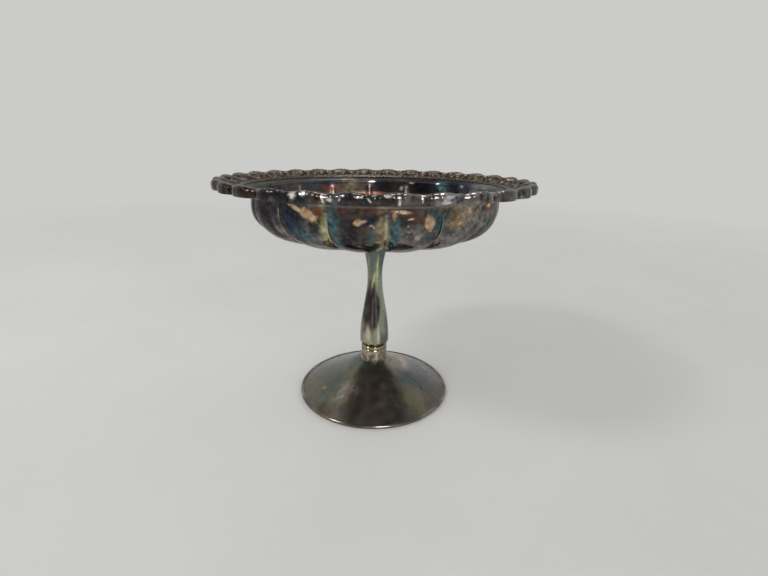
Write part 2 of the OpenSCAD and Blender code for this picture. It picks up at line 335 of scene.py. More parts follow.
def strung(seed, count, heights, sizes):
    """Groups of marks at seeded places, each strung along a slanted line."""
    rng = np.random.default_rng(seed)
    marks = []
    for _ in range(count):
        turn, height = rng.uniform(*STRING_SIDE), rng.uniform(*heights)
        size, tilt = rng.uniform(*sizes), rng.uniform(*STRING_TILT)
        for _ in range(rng.integers(*STRING_COUNT)):
            tall = size * rng.uniform(*STRING_ASPECT)
            marks.append((turn, height, size, tall, tilt + rng.uniform(*STRING_SWAY)))
            step = size * rng.uniform(*STRING_STEP)
            turn += math.degrees(step * math.cos(tilt) / WALL_R)
            height += step * math.sin(tilt)
            size *= rng.uniform(*STRING_SHRINK)
    return marks


# Shape of the bowl

# Middle points of the wall's curve, as shares of its radius and height
WALL_PULLS = ((1.037, 0.497), (0.926, 0.15))
WALL_CURVE = [
    (WALL_R, Z_BOWL + WALL_H),
    *[(WALL_R * out, Z_BOWL + WALL_H * up) for out, up in WALL_PULLS],
    (FLOOR_R, Z_BOWL),
]
BEND_AT = (WALL_R + BEND_R, Z_BOWL + WALL_H)
PITCH = TURN / LOBES
FLANGE_R = RIM_R - SCALLOP_DEPTH - SKIRT_W
WALL_ROWS, BEND_ROWS, RIM_ROWS, FLOOR_ROWS, LOBE_COLUMNS = 128, 10, 9, 14, 40
# Share of the floor's radius at which its rings begin
FLOOR_MIDDLE = 0.04


def rim_top(r):
    level = BEND_AT[1] + (BEND_R + SHEET) / math.cos(RIM_TILT)
    return level + (r - BEND_AT[0]) * math.tan(RIM_TILT)


def rings(r, z, side, *weights):
    """Rows of place, side, normal, and weights of panel and groove, which are 0 unless given."""
    return np.stack(np.broadcast_arrays(r, z, side, *(weights or (0, 0, 0, 0))), 1)


def bowl_profile():
    """Rings from the middle of the outer floor over the rim to the middle of the inner floor.

    Their side runs from 0 outside to 1 inside.
    """
    t = np.linspace(0, 1, WALL_ROWS)
    (r, z), (way_r, way_z) = (pairs.T for pairs in curve(WALL_CURVE, t))
    normal_r, normal_z = (-way_z, way_r) / np.hypot(way_r, way_z)
    panel = fade(t, 0, PANEL_START) * fade(t, 1, -PANEL_END)
    groove = fade(t, 0, GROOVE_START) * fade(t, 1, -GROOVE_END)
    weights = (normal_r, normal_z, panel, groove)
    outer = rings(r, z, 0, *weights)
    inner = rings(r - normal_r * SHEET, z - normal_z * SHEET, 1, *weights)
    floor = np.linspace(FLOOR_MIDDLE, 1, FLOOR_ROWS)[:-1]
    outer_floor = rings(floor * outer[-1, 0], outer[-1, 1], 0)
    inner_floor = rings(floor * inner[-1, 0], inner[-1, 1], 1)
    bend = math.pi - (math.pi / 2 - RIM_TILT) * np.linspace(0, 1, BEND_ROWS)[1:]
    share = np.linspace(0, 1, RIM_ROWS)
    low, high = BEND_R, BEND_R + SHEET
    under_r = mix(BEND_AT[0] - low * math.sin(RIM_TILT), FLANGE_R, share[1:])
    top_r = mix(FLANGE_R, BEND_AT[0] - high * math.sin(RIM_TILT), share[:-1])
    under_z, top_z = rim_top(under_r) - SHEET / math.cos(RIM_TILT), rim_top(top_r)
    low_bend = BEND_AT + low * np.stack([np.cos(bend), np.sin(bend)], 1)
    high_bend = BEND_AT + high * np.stack([np.cos(bend), np.sin(bend)], 1)[::-1]
    rim_r = np.concatenate([low_bend[:, 0], under_r, top_r, high_bend[:, 0]])
    rim_z = np.concatenate([low_bend[:, 1], under_z, top_z, high_bend[:, 1]])
    rim = rings(rim_r, rim_z, np.linspace(0, 1, len(rim_r) + 2)[1:-1])
    return np.concatenate([outer_floor, outer[::-1], rim, inner, inner_floor[::-1]])


def bowl_points():
    """Points of the bowl, their angles, their nearness to a groove, and their side."""
    columns = LOBES * LOBE_COLUMNS
    angle = np.arange(columns) / columns * TURN
    r, z, side, normal_r, normal_z, panel, groove = bowl_profile().T[..., None]
    off = np.abs(angle - PITCH * np.round(angle / PITCH))
    near = np.exp(-((r * off / GROOVE_W) ** 2)) * groove
    arch = SWELL * (1 - (1 - 2 * off / PITCH) ** 2)
    dents = DENT * waves(ringed(r, z, angle), DENT_LENGTH, DENT_SEED)
    push = (arch + dents) * panel - GROOVE_DEPTH * near
    return ringed(r + normal_r * push, z + normal_z * push, angle), angle, near, side + 0 * angle


# Marks on the bowl outside and inside, after their tints and their pull on the film around
BOWL_MARKS = [
    # The ink marks at -70, -54 and -40 degrees and the midnight mark at -38, high on the far left, are
    # painted shade under the border
    (DRAB, 3, -72, 14, 5, 5), (INK, 14, -70, 28, 7, 6), (GREY, 4, -60, 22, 1.6, 6),
    (INK, 5, -64, 19, 2.5, 6), (INK, 16, -54, 28, 8, 6), (DRAB, 4, -54, 13, 4, 5),
    (GREY, 4, -48, 21, 1.2, 5, 0.2), (INK, 5, -50, 19, 2.5, 6), (GREY, 3, -43.5, 18, 1.5, 7, 0.15),
    (MIDNIGHT, 14, -38, 25, 6, 6), (INK, 8, -40, 32, 7, 3), (TEAL, 6, -35, 17.5, 6, 3.5),
    (LILAC, 5, -33, 9, 9, 4.5), (LILAC, 3, -54, 8, 7, 4), (INK, 5, -27, 23, 3, 4),
    # The lime marks at -23.7 and -2.2 degrees and the gold mark at -2, along the grooves, are painted
    # highlights
    (LIME, 3, -23.7, 20, 1.4, 12), (CYAN, 3, -20.4, 28, 1.3, 4), (TEAL, 6, -19.6, 23, 2.2, 8),
    (TEAL, 3, -19.6, 13, 2.2, 5), (INK, 7, -12, 23, 5, 5), (UMBER, 6, -9, 18, 5, 3),
    (MIDNIGHT, 6, -15, 15, 3, 4), (PURPLE, 4, -8, 10, 7, 3), (LILAC, 2, -12, 7, 6, 2.5),
    (TEAL, 5, -4.6, 17, 2.2, 6), (MIDNIGHT, 8, -5, 28, 3, 4), (GOLD, 8, -2, 17, 2.2, 12),
    (LIME, 3, -2.2, 18, 1.3, 11), (CYAN, 2, 4.2, 22, 1.2, 5), (TEAL, 5, 3.4, 18, 2, 7),
    (INK, 5, 8, 26, 5, 3), (DRAB, 4, 9, 19, 5, 5), (TEAL, 6, 20, 27, 4, 4, 0.3),
    (OLIVE, 4, 22, 32, 3, 1.4), (NAVY, 3, 17, 17, 3, 2), (LILAC, 6, 13, 9, 8, 4.5),
    (GREY, 3, 34, 17, 5, 8), (GREY, 2, 12, 22, 4, 4), (TAN, 6, 31, 30, 4, 4),
    (GOLD, 5, 27.5, 25, 3.5, 1.8, 0.2), (LILAC, 5, 30, 11, 7, 5), (OLIVE, 4, 38, 29, 2, 3),
    (GREY, 5, 43, 19, 2.2, 9, 0.15), (SAGE, 4, 51, 24, 3, 5), (UMBER, 3, 58, 20, 4, 6),
    (GREY, 2.5, 66, 18, 5, 8),
]
INSIDE_MARKS = [
    # The near black marks at 171, 147 and 126 degrees are painted dark reflection, and the pale blue mark
    # at 100 degrees is a painted highlight
    (SAGE, 5, -90, 31, 10, 9), (SAGE, 6, -108, 34, 9, 5), (INK, 5, -112, 28, 8, 4),
    (MAUVE, 3, -122, 31, 6, 4), (DRAB, 3, -132, 34, 7, 4), (SLATE, 3.5, -143, 31, 6, 4),
    (GREY, 2, -149, 34, 5, 3), (SLATE, 4, -155, 33, 6, 3.5), (OLIVE, 5, -167, 33, 5, 6),
    (UMBER, 6, -176, 30, 5, 8), (UMBER, 2, -150, 27, 12, 4), (REFLECTION_BLACK, 14, 171, 30, 8, 9),
    (UMBER, 7, 159, 30, 6, 9), (REFLECTION_BLACK, 16, 147, 30, 9, 9), (TEAL, 5, 133, 33, 5, 4),
    (REFLECTION_BLACK, 9, 126, 31, 5, 5), (NAVY, 6, 118, 33, 5, 4), (INK, 4, 113, 28, 6, 5),
    (GREY, 5, 105, 32, 6, 6), (SAGE, 5, 94, 31, 9, 8), (GLINT_BLUE, 1.6, 100, 35, 14, 4),
]
COPPER_MARKS = [
    (16.2, 25.8, 2.7, 3.5, 0.06), (-10, 26.2, 2.4, 1.6, 0.2), (-8, 27, 1.4, 0.8),
    (5.5, 31.6, 4.8, 0.9, -0.1), (2.8, 29.4, 0.9, 2.2, 0.1), (-34.5, 31.2, 5.5, 1.1, -0.37),
    (-29.6, 28.9, 5, 2.5, -0.42), (-27.3, 27.2, 2.6, 1.8, -0.70), (49.2, 32, 2, 1.4),
    (35, 30.6, 1.2, 1.9, 0.3), (9, 28, 1.7, 0.6, 0.1), (30.5, 24.6, 2.2, 0.7, 0.2),
    (-5.6, 24.8, 0.9, 0.6),
]
PALE_MARKS = [
    (12, 18.3, 1.5, 1.5), (-4.5, 24, 0.7, 0.6), (8, 24.3, 0.35, 0.6), (8.2, 21.6, 0.35, 0.8),
    (8.1, 19, 0.4, 0.6), (-12.5, 14, 0.5, 0.5), (-10.2, 13.6, 0.4, 0.4), (-17, 8, 0.9, 0.4, 0.2),
    (-5, 9, 0.6, 0.35),
]
RUST_MARKS = [
    (-11, 32.4, 13, 2), (-12, 29, 2.5, 1.6), (9.5, 29, 4.5, 2.2), (47, 31, 3.4, 2.6),
    (52, 30, 2.4, 2.6), (-25.5, 30, 3, 3), (27, 29.5, 2, 2),
]
INSIDE_RUST = [
    (-157, 28.4, 9, 3.2), (-128, 25.6, 14, 1.8), (-178, 24.6, 14, 1), (155, 24, 18, 0.8),
    (120, 24, 12, 0.9),
]
# Painted highlights on the inside, near its bend
INSIDE_GLINTS = [
    (160.5, 28.8, 1.5, 1.5), (154, 33.2, 2.2, 0.6), (178.5, 33.6, 2.4, 0.7, -0.1),
    (137, 33.8, 1.3, 0.8), (119.5, 33.5, 1.8, 0.8, 0.2),
]
# Seeded marks of the far side: seed, count, heights and sizes
FAR_TINTS = [NAVY, TEAL, MAUVE, DRAB, UMBER, PURPLE, SAGE, BROWN]
FAR_SPOTS = scattered(31, 40, (6, 32), (5, 10))
FAR_MARKS = [(FAR_TINTS[i % len(FAR_TINTS)], 4, *spot) for i, spot in enumerate(FAR_SPOTS)]
COPPER_MARKS += strung(41, 15, (15, 31), (1.2, 3.4))
PALE_MARKS += scattered(43, 16, (10, 30), (0.3, 0.9))

# Edges of the marks and changes of the film, as layers of weight, wave length and seed
RAGGED = ((0.20, 3.0, 21), (0.14, 1.6, 22))
CLOUDY = ((0.16, 9, 23), (0.10, 4, 24))
BOWL_CLOUDS = ((0.25, 30, 11), (0.15, 9, 12))
INSIDE_CLOUDS = ((0.3, 12, 15),)
DARK_SPOTS = ((0.667, 8, 18), (0.556, 3.5, 19))
MOTTLES = ((0.32, 2.6, 25), (0.22, 5, 26))
RUST_BREAKS = ((0.6, 3.5, 27),)
# Breaks along the painted highlight lines of the grooves
GROOVE_GLINT_BREAKS = ((0.5, 7, 17),)
COPPER_PATCHES = ((0.25, 2.5, 44),)
# Levels around which some of these layers vary, and the limits of the mottling
RUST_LEVEL, GLINT_BREAK_LEVEL, COPPER_LEVEL, MOTTLE_LEVEL = 0.6, 0.75, 0.85, 1.04
MOTTLE_LIMITS, GLINT_BREAK_STRETCH = (0.35, 1.9), [1, 1, 0.4]

# Fades by height at the bend, the floor and the grooves' tops, by nearness, and by angle
AT_BEND, AT_FLOOR, AT_TOP = (WALL_H - 1.2, 2.0), (24, -6), (28.5, 2.0)
IN_GROOVE, LEFTWARD = (0, 0.25), (math.radians(30), math.radians(-60))
# The film inside is darker and duller, and its tints are then brightened as painted light, except at the
# bend where they are darkened
INSIDE_DARKER, INSIDE_DULL, INSIDE_PAINTED_LIGHT, BEND_PAINTED_LEVEL = 0.45, 0.22, 2.0, 0.6
# Dark spots to the right and left of the front, how far the floor is clear of them, its mottling
DARK_RIGHT, DARK_LEFT, FLOOR_CLEAR, FLOOR_MOTTLE = 0.25, 0.6, 0.7, 0.3
FLOOR_TONES = [(TAN, 0.55, 22, 28, 0.1, 0.8), (STEEL, 0.55, 17, 29, 0.1, 0.8),
               (OLIVE, 0.55, 12, 33, 0.1, 0.8), (DRAB, 0.55, 8, 34, 0.1, 0.8)]
# Grooves that show a bright painted highlight line, as angle from the front, and the strength of the others
GLINTING_GROOVES = {-22.5: 0.95, 0.0: 0.75, -45.0: 0.6, 22.5: 0.35, 45.0: 0.5}
# The last value is the share of the painted shade at the grooves' tops under the border
OTHER_GROOVE_GLINTS, INNER_GROOVE_GLINTS, TOP_SHADE_SHARE = 0.35, 0.9, 0.85
# Painted highlight lines along the grooves: fade by nearness, share, and tints outside and inside
GROOVE_GLINT_LINES = [((0.65625, 0.3125), 1.0, STRAW, ROSE), ((5.2 / 6, 1 / 6), 0.8, LIME, CREAM)]
BOWL_RUST, INSIDE_GLOW = [(RUST, 1.0, RUST_MARKS, 1.4)], [(GLOW, 0.5, INSIDE_RUST, 1.5)]
# Pale specks outside, and painted highlights inside
BOWL_SPECKS, INSIDE_GLINT_WASH = [(CREAM, 0.65, PALE_MARKS, 0.6)], [(GLINT_BLUE, 1.0, INSIDE_GLINTS, 0.8)]
# Bared copper has a dark rim of that width
COPPER_SOFT, COPPER_RAGGED, COPPER_RIM_W = 0.7, 0.85, 0.3
COPPER_RIMS = [(UMBER, 0.55, COPPER_MARKS, COPPER_SOFT)]


class BowlSkin:
    """The bowl's points, with what the paint on them needs to know."""

    def __init__(self):
        self.points, self.angle, self.near, side = bowl_points()
        self.wall = Wall(self.points, Z_BOWL)
        self.outside = (side == 0) * 1.0
        self.inside = (side > 0.5) * 1.0
        self.ragged = layered(self.points, RAGGED)
        self.cloudy = layered(self.points, CLOUDY)


def bowl_film(skin):
    """Tints of the film outside and inside."""
    points, wall = skin.points, skin.wall
    ground = shaded(DRAB, layered(points, BOWL_CLOUDS))
    outer = wall.drawn(ground, BOWL_MARKS + FAR_MARKS, skin.cloudy)
    ground = shaded(MAUVE, layered(points, INSIDE_CLOUDS) - INSIDE_DARKER)
    # Painted light: the inside's tints are brightened, and darkened at the bend
    lift = mix(INSIDE_PAINTED_LIGHT, BEND_PAINTED_LEVEL, fade(wall.rise, *AT_BEND))
    inner = wall.drawn(ground, INSIDE_MARKS, skin.cloudy) * lift[..., None]
    tint = mix(outer, inner, skin.inside[..., None])
    dark = mix(DARK_RIGHT, DARK_LEFT, fade(wrapped(skin.angle - FRONT), *LEFTWARD))
    floor = skin.inside * fade(wall.rise, *AT_FLOOR)
    tint = washed(tint, INK, dark * smooth(layered(points, DARK_SPOTS)) * (1 - FLOOR_CLEAR * floor))
    tint = clouded(tint, points, FLOOR_TONES, floor)
    mottle = layered(points, MOTTLES) * np.maximum(skin.outside, FLOOR_MOTTLE * floor)
    return tint * np.clip(MOTTLE_LEVEL + mottle, *MOTTLE_LIMITS)[..., None]


def groove_glint_strength(angle):
    """How bright the nearest groove's painted highlight line is."""
    nearest = np.degrees(PITCH * np.round((angle - FRONT) / PITCH))
    strength = np.full(angle.shape, OTHER_GROOVE_GLINTS)
    for degrees, value in GLINTING_GROOVES.items():
        strength[np.abs((nearest - degrees + 180) % 360 - 180) < 1] = value
    return strength


def bowl_marks(skin, tint):
    """Tints with rust, painted shade at the grooves' tops, painted highlight lines along the grooves, dark
    rims around bared copper, pale specks, and painted highlights inside.
    """
    wall, outside, inside = skin.wall, skin.outside, skin.inside
    broken = np.clip(RUST_LEVEL + layered(skin.points, RUST_BREAKS), 0, 1)
    tint = marked(tint, wall, BOWL_RUST, skin.cloudy, broken * outside)
    tint = marked(tint, wall, INSIDE_GLOW, skin.cloudy, inside)
    # Painted shade: the grooves' tops under the border are darkened
    shaded_tops = fade(wall.rise, *AT_TOP) * fade(skin.near, *IN_GROOVE)
    tint = washed(tint, UMBER, TOP_SHADE_SHARE * shaded_tops * outside)
    # Painted highlight lines along the grooves, broken along their length
    streaks = smooth(GLINT_BREAK_LEVEL + layered(skin.points * GLINT_BREAK_STRETCH, GROOVE_GLINT_BREAKS))
    strength = mix(groove_glint_strength(skin.angle), INNER_GROOVE_GLINTS, inside) * streaks
    for fades, share, outer_tint, inner_tint in GROOVE_GLINT_LINES:
        line = share * strength * fade(skin.near, *fades)
        tint = washed(washed(tint, outer_tint, line * outside), inner_tint, line * inside)
    tint = marked(tint, wall, COPPER_RIMS, skin.ragged - COPPER_RIM_W, outside)
    tint = marked(tint, wall, BOWL_SPECKS, skin.ragged, outside)
    # Painted highlights on the inside
    return marked(tint, wall, INSIDE_GLINT_WASH, skin.ragged, inside)


def make_bowl(material):
    skin = BowlSkin()
    patchy = np.clip(COPPER_LEVEL + layered(skin.points, COPPER_PATCHES), 0, 1)
    worn = skin.wall.ovals(COPPER_MARKS, COPPER_SOFT, COPPER_RAGGED * skin.ragged) * patchy * skin.outside
    values = {"tint": bowl_marks(skin, bowl_film(skin)), "worn": worn, "dull": INSIDE_DULL * skin.inside}
    place(grid_mesh("bowl_skin", skin.points, values, False, True), material, "bowl")


# Shape of the border

BORDER_IN = RIM_R - BORDER_W
VALLEY_R = RIM_R - SCALLOP_DEPTH
TIP_Z = rim_top(FLANGE_R) + TIP_H
SKIRT_Z = rim_top(FLANGE_R) - SKIRT_H
# One repeat of the ornament, as long as at this radius
ORNAMENT_R = 95.0
REPEAT_LEN = TURN / SCALLOPS * ORNAMENT_R
HALF_LEN = REPEAT_LEN / 2
SCALLOP_POWER, VALLEY_SOFT, VALLEY_SWELL = 0.65, 0.02, 0.35
# Depth of the carving and least height of its ground
CARVE, GROUND_H, LEAST_H = 1.3, 0.3, 0.05

# A smooth fan opens to the scallop's edge, with flutes that run on over that edge
FAN_FOOT, FAN_SPREAD, FAN_SIDE, FAN_FADE = 5.0, math.radians(48), -0.07, (1.6, 2.6)
FLUTES, FLUTE_SHARE, FLUTE_POWER, FLUTE_FOOT = 5, 0.22, 0.6, 0.5
# Bands along the inner edge: place across the face, half width and height
BANDS = ((0.7, 0.7, 0.95), (1.9, 0.38, 0.7))
# Bosses at the fan's foot and in the valley, in the same way
FAN_BOSS, VALLEY_BOSS = (4.6, 1.2, 0.95), (7.7, 0.95, 0.95)
# Scroll at each side of the fan: eye, ring and bead, and the curve of its sweep with its half width
SCROLL_H, SCROLL_EYE, RING_R, RING_W, BEAD_R = 0.9, (7.3, 4.6), 1.7, 0.6, 0.75
SWEEP, SWEEP_STEPS, SWEEP_W, SWEEP_SWELL = [(0.9, 4.6), (3.4, 8.2), (8.4, 9.0), (9.0, 4.8)], 28, 0.55, 0.3
# Leaves from the valley's middle line, and one from the fan's: start, end, half width and height
VALLEY_LEAVES = (
    ((0, 8.4), (0, 14.4), 1.25, 1),
    ((0, 8.6), (-2.9, 12.6), 0.95, 0.9),
    ((0, 2.5), (0, 6.9), 0.8, 0.75),
)
FAN_LEAF = ((1.2, 2.7), (5.4, 3.3), 0.7, 0.7)
LEAF_POWER, VEIN_H, VEIN_W = 0.7, 0.7, 0.35


def scallop(u):
    """Share of the scallop's depth at each place of a repeat: 0 in the valley and 1 at the tip."""
    def lift(s):
        return (s * s + VALLEY_SOFT) ** (SCALLOP_POWER / 2)

    return (lift(np.sin(math.pi * u)) - lift(0.0)) / (lift(1.0) - lift(0.0))


def ridge(distance, width):
    return np.sqrt(np.clip(1 - (distance / width) ** 2, 0, 1))


def boss(x, y, sizes):
    across, width, height = sizes
    return height * ridge(np.hypot(x, y - across), width)


def scroll(x, y):
    """C scroll that sweeps along the side of a lobe and curls into a ring with a bead."""
    far = np.hypot(x - SCROLL_EYE[0], y - SCROLL_EYE[1])
    high = np.maximum(ridge(far - RING_R, RING_W), ridge(far, BEAD_R))
    share = np.linspace(0, 1, SWEEP_STEPS)
    for s, (px, py) in zip(share, curve(SWEEP, share)[0]):
        width = SWEEP_W + SWEEP_SWELL * math.sin(math.pi * s)
        high = np.maximum(high, ridge(np.hypot(x - px, y - py), width))
    return SCROLL_H * high


def leaf(x, y, sizes):
    """Tapered leaf with a middle vein."""
    (sx, sy), (ex, ey), width, height = sizes
    long = math.hypot(ex - sx, ey - sy)
    tx, ty = (ex - sx) / long, (ey - sy) / long
    onward = ((x - sx) * tx + (y - sy) * ty) / long
    across = (x - sx) * -ty + (y - sy) * tx
    half = width * np.sin(math.pi * np.clip(onward, 0, 1)) ** LEAF_POWER + 1e-6
    body = ridge(across, half) * (onward > 0) * (onward < 1)
    return height * body * mix(VEIN_H, 1, smooth(np.abs(across) / VEIN_W))


def flutes(x, y):
    """How far a place lies below the crest of its flute, from 0 to 1."""
    turn = np.arctan2(x, np.maximum(y - FAN_FOOT, FLUTE_FOOT))
    return 1 - np.abs(np.cos(math.pi * turn * FLUTES / (2 * FAN_SPREAD))) ** FLUTE_POWER


def fan(x, y):
    far = np.hypot(x, y - FAN_FOOT)
    turn = np.arctan2(x, y - FAN_FOOT)
    within = fade(np.abs(turn), FAN_SPREAD, FAN_SIDE)
    return fade(far, *FAN_FADE) * within * (1 - FLUTE_SHARE * flutes(x, y))


def ornament(x, y):
    """Relief from 0 at the ground to 1 at the high places, over one repeat."""
    highs = [height * ridge(y - across, width) for across, width, height in BANDS]
    highs += [fan(x, y), boss(x, y, FAN_BOSS)]
    for side in (-x, x):
        highs += [scroll(side, y), boss(side - HALF_LEN, y, VALLEY_BOSS), leaf(side, y, FAN_LEAF)]
        highs += [leaf(side - HALF_LEN, y, sizes) for sizes in VALLEY_LEAVES]
    return np.maximum.reduce(highs)


# Rows across the face and down each half of the rounded edge, and columns of one scallop
FACE_ROWS, EDGE_ROWS, SCALLOP_COLUMNS = 66, 18, 80
# Fades across the face: the leaf's lift, the roll into the edge, and the end of the shading
AT_LIFT, AT_ROLL, AT_CALM = (0.7, 0.3), (0.86, 0.14), (0.82, 0.15)
# Fades of the edge's flutes along the scallop and down the edge, and of the valley's shade
ALONG_FLUTES, DOWN_FLUTES, AT_VALLEY = (0.1, 0.4), (-0.15, 1), (0.35, -0.35)
# Relief value of the edge, which isn't worn bright: darker in flutes, valleys and at the sides
EDGE_RELIEF, EDGE_SHADE, VALLEY_SHADE, SIDE_SHADE, UNDER_RELIEF = 0.84, 1.8, 0.3, 0.8, 0.3


def border_rows(u, x):
    """Closed sections at each place of a scallop: radius, height, relief and share of edge."""
    c = scallop(u)
    lift = LEAF_RISE * np.exp(-(((HALF_LEN - np.abs(x)) / LEAF_W) ** 2))
    edge_r = VALLEY_R + SCALLOP_DEPTH * c
    edge_z = TIP_Z - VALLEY_DROP * (1 - c)
    v = np.linspace(0, 1, FACE_ROWS)[:, None]
    r = mix(BORDER_IN, edge_r - EDGE_ROUND, v)
    swell = FACE_SWELL * np.sin(math.pi * v) * mix(VALLEY_SWELL, 1, c)
    z = mix(rim_top(BORDER_IN) + LIP_H, edge_z, v) + swell + lift * fade(v, *AT_LIFT)
    deep = FLUTE_SHARE * flutes(x, edge_r - BORDER_IN) * fade(c, *ALONG_FLUTES)
    high = mix(ornament(x + 0 * v, r - BORDER_IN), 1 - deep, fade(v, *AT_ROLL))
    z = z - np.minimum(CARVE * (1 - high), np.maximum(z - rim_top(r) - GROUND_H, LEAST_H))

    turn = np.radians(np.linspace(90, -90, 2 * EDGE_ROWS + 1))[1:, None]
    top_z = edge_z + lift
    wide_z = mix(SKIRT_Z, top_z, EDGE_LOW)
    upper = turn > 0
    inset = CARVE * deep * fade(np.sin(turn), *DOWN_FLUTES)
    drawn_in = np.where(upper, EDGE_ROUND, EDGE_DRAW) * (1 - np.cos(turn))
    turned_r = edge_r - drawn_in - inset * np.cos(turn)
    rise = np.where(upper, top_z - wide_z, wide_z - SKIRT_Z) * np.sin(turn)
    turned_z = wide_z + rise - inset * np.maximum(np.sin(turn), 0)

    inner = FLANGE_R + FILM_GAP
    under_z = [SKIRT_Z, rim_top(FLANGE_R) + FILM_GAP, rim_top(BORDER_IN) + FILM_GAP]
    under_r, under_z = (np.array(row)[:, None] + 0 * c for row in ([inner, inner, BORDER_IN], under_z))
    calm = EDGE_RELIEF - EDGE_SHADE * deep - VALLEY_SHADE * fade(c, *AT_VALLEY)
    over = fade(v, *AT_CALM)
    sections = [
        (r, turned_r, under_r),
        (z, turned_z, under_z),
        (mix(high, calm, over), calm + 0 * turned_r, UNDER_RELIEF + 0 * under_r),
        (over + 0 * high, 1 + 0 * turned_r, 0 * under_r),
    ]
    return [np.concatenate(rows)[::-1] for rows in sections]


# Tints along the border's edge: angle from the front in degrees, tint and its level; the dark tints near
# the front are painted dark reflection as well as film
EDGE_FILM_AND_REFLECTION = [
    (-180, DRAB, 0.70), (-95, DRAB, 0.60), (-75, DRAB, 0.55), (-55, LACE, 0.60),
    (-38, UMBER, 0.80), (-26, INK, 1.40), (-20, UMBER, 1.60), (-14, UMBER, 0.90), (-10, INK, 1.70),
    (-2, UMBER, 1.40), (4, DRAB, 0.80), (9, UMBER, 1.80), (15, MAUVE, 1.35),
    (24, DRAB, 1.10), (40, DRAB, 0.85), (60, SAGE, 0.45), (95, DRAB, 0.60),
    (180, DRAB, 0.70),
]
# Painted highlights on the edge, as angle from the front and height above its foot
EDGE_GLINTS = [
    (-26.3, 3.4, 2.2, 1.5), (-22.7, 4.6, 1.4, 1.2), (-21.4, 4.4, 0.45, 0.45), (-20, 4.2, 0.45, 0.45),
    (-17.6, 2.2, 0.5, 1.7, 0.3), (-15.9, 2.2, 1.2, 0.8), (-13, 2.7, 0.4, 0.7, -0.4),
    (-12, 4.2, 0.5, 0.5), (-8.5, 3.9, 0.4, 0.4), (-7.2, 4.2, 0.4, 0.4), (-5.5, 2.4, 0.4, 1.2, 0.7),
    (-3.9, 5.3, 0.4, 0.3), (-0.8, 4.3, 1.4, 0.6), (2, 2, 0.6, 1.5), (8.3, 2.7, 0.35, 1.2),
    (15, 3.7, 2.8, 0.8, 0.12), (14.2, 2.6, 1.6, 1.1, 0.4), (14.4, 1.5, 2.1, 0.7, 0.05),
]

# Changes of the border's film, as layers of weight, wave length and seed
EDGE_SHIFTS = ((0.05, 12, 50),)
EDGE_CLOUDS, EDGE_LIMITS = ((0.45, 6, 51), (0.3, 2.4, 52)), (0.2, 2.2)
FACE_CLOUDS = ((1.25, 18, 54), (0.5, 5, 55))
# Ragged edges and softness of the painted highlights on the edge
GLINT_EDGES, GLINT_SOFT = ((0.15, 1.2, 56),), 1.3
SIDE_STREAKS, STREAK_LIMITS, SIDE_STRETCH = ((0.5, 1.9, 59),), (0.25, 2.6), [1, 1, 0.35]
EDGE_BLUE = [(STEEL, 0.5, 9, 57, 0.6, 0.5)]
FACE_LACE, FACE_BROWN, FACE_DULL = 0.9, 0.6, 0.12
# Fade by angle from the front to the sides
AT_SIDES = (math.radians(35), math.radians(15))


def along(stops, angle):
    """Tints between those of the stops, for each angle."""
    degrees = np.degrees(wrapped(angle - FRONT))
    at = [stop[0] for stop in stops]
    tints = np.array([np.array(tint) * level for _, tint, level in stops])
    return np.stack([np.interp(degrees, at, tints[:, k]) for k in range(3)], -1)


def border_film(points, relief, edge):
    """Tints of the border, with painted highlights on its edge, and its relief as changed by shade and
    under those highlights.
    """
    turn = np.arctan2(points[..., 1], points[..., 0])
    sides = fade(np.abs(wrapped(turn - FRONT)), *AT_SIDES)
    # Tints of the film along the edge, with painted dark reflection near the front
    tint = along(EDGE_FILM_AND_REFLECTION, turn + layered(points, EDGE_SHIFTS))
    tint = tint * np.clip(1 + layered(points, EDGE_CLOUDS), *EDGE_LIMITS)[..., None]
    tint = washed(tint, LACE, FACE_LACE * (1 - edge))
    tint = washed(tint, BROWN, FACE_BROWN * (1 - edge) * smooth(layered(points, FACE_CLOUDS)))
    tint = clouded(tint, points, EDGE_BLUE, edge)
    streaks = sides * layered(points * SIDE_STRETCH, SIDE_STREAKS)
    tint = tint * np.clip(1 + streaks, *STREAK_LIMITS)[..., None]
    # Painted highlights: pale spots on the edge, kept clear of the crevice colour
    glints = edge * Wall(points, SKIRT_Z).ovals(EDGE_GLINTS, GLINT_SOFT, layered(points, GLINT_EDGES))
    relief = np.maximum(relief - edge * sides * SIDE_SHADE * (EDGE_RELIEF - relief), 0)
    return washed(tint, GLINT_WHITE, glints), mix(relief, EDGE_RELIEF, glints)


def make_border(index, material):
    each = SCALLOPS // LENGTHS
    gap = FILM_GAP / 2 / FLANGE_R
    span = TURN / LENGTHS - 2 * gap
    share = np.linspace(0, 1, each * SCALLOP_COLUMNS + 1)
    u = (share * each) % 1.0
    u[-1] = 1.0
    r, z, relief, edge = border_rows(u, (u - 0.5) * REPEAT_LEN)
    points = ringed(r, z, BORDER_TURN + index * TURN / LENGTHS + gap + span * share)
    tint, relief = border_film(points, relief, edge)
    values = {"tint": tint, "relief": relief, "dull": FACE_DULL * (1 - edge)}
    name = "border_%d" % (index + 1)
    place(grid_mesh(name + "_relief", points, values, True, False), material, name)


# Stem and collar

# Middle points of the stem's curves, as shares of their width and height
STEM_FLARE, STEM_FLARE_END = (0.36, 0.25), 0.615
STEM_SWELL_START, STEM_SWELL_END = 0.345, 0.433
STEM_ROWS, BEVEL_ROWS, STEM_COLUMNS = 64, 7, 144
# The edge above the bevel is softened by these shares, in radius and height
BEVEL_SOFT = (-0.3, -0.2)


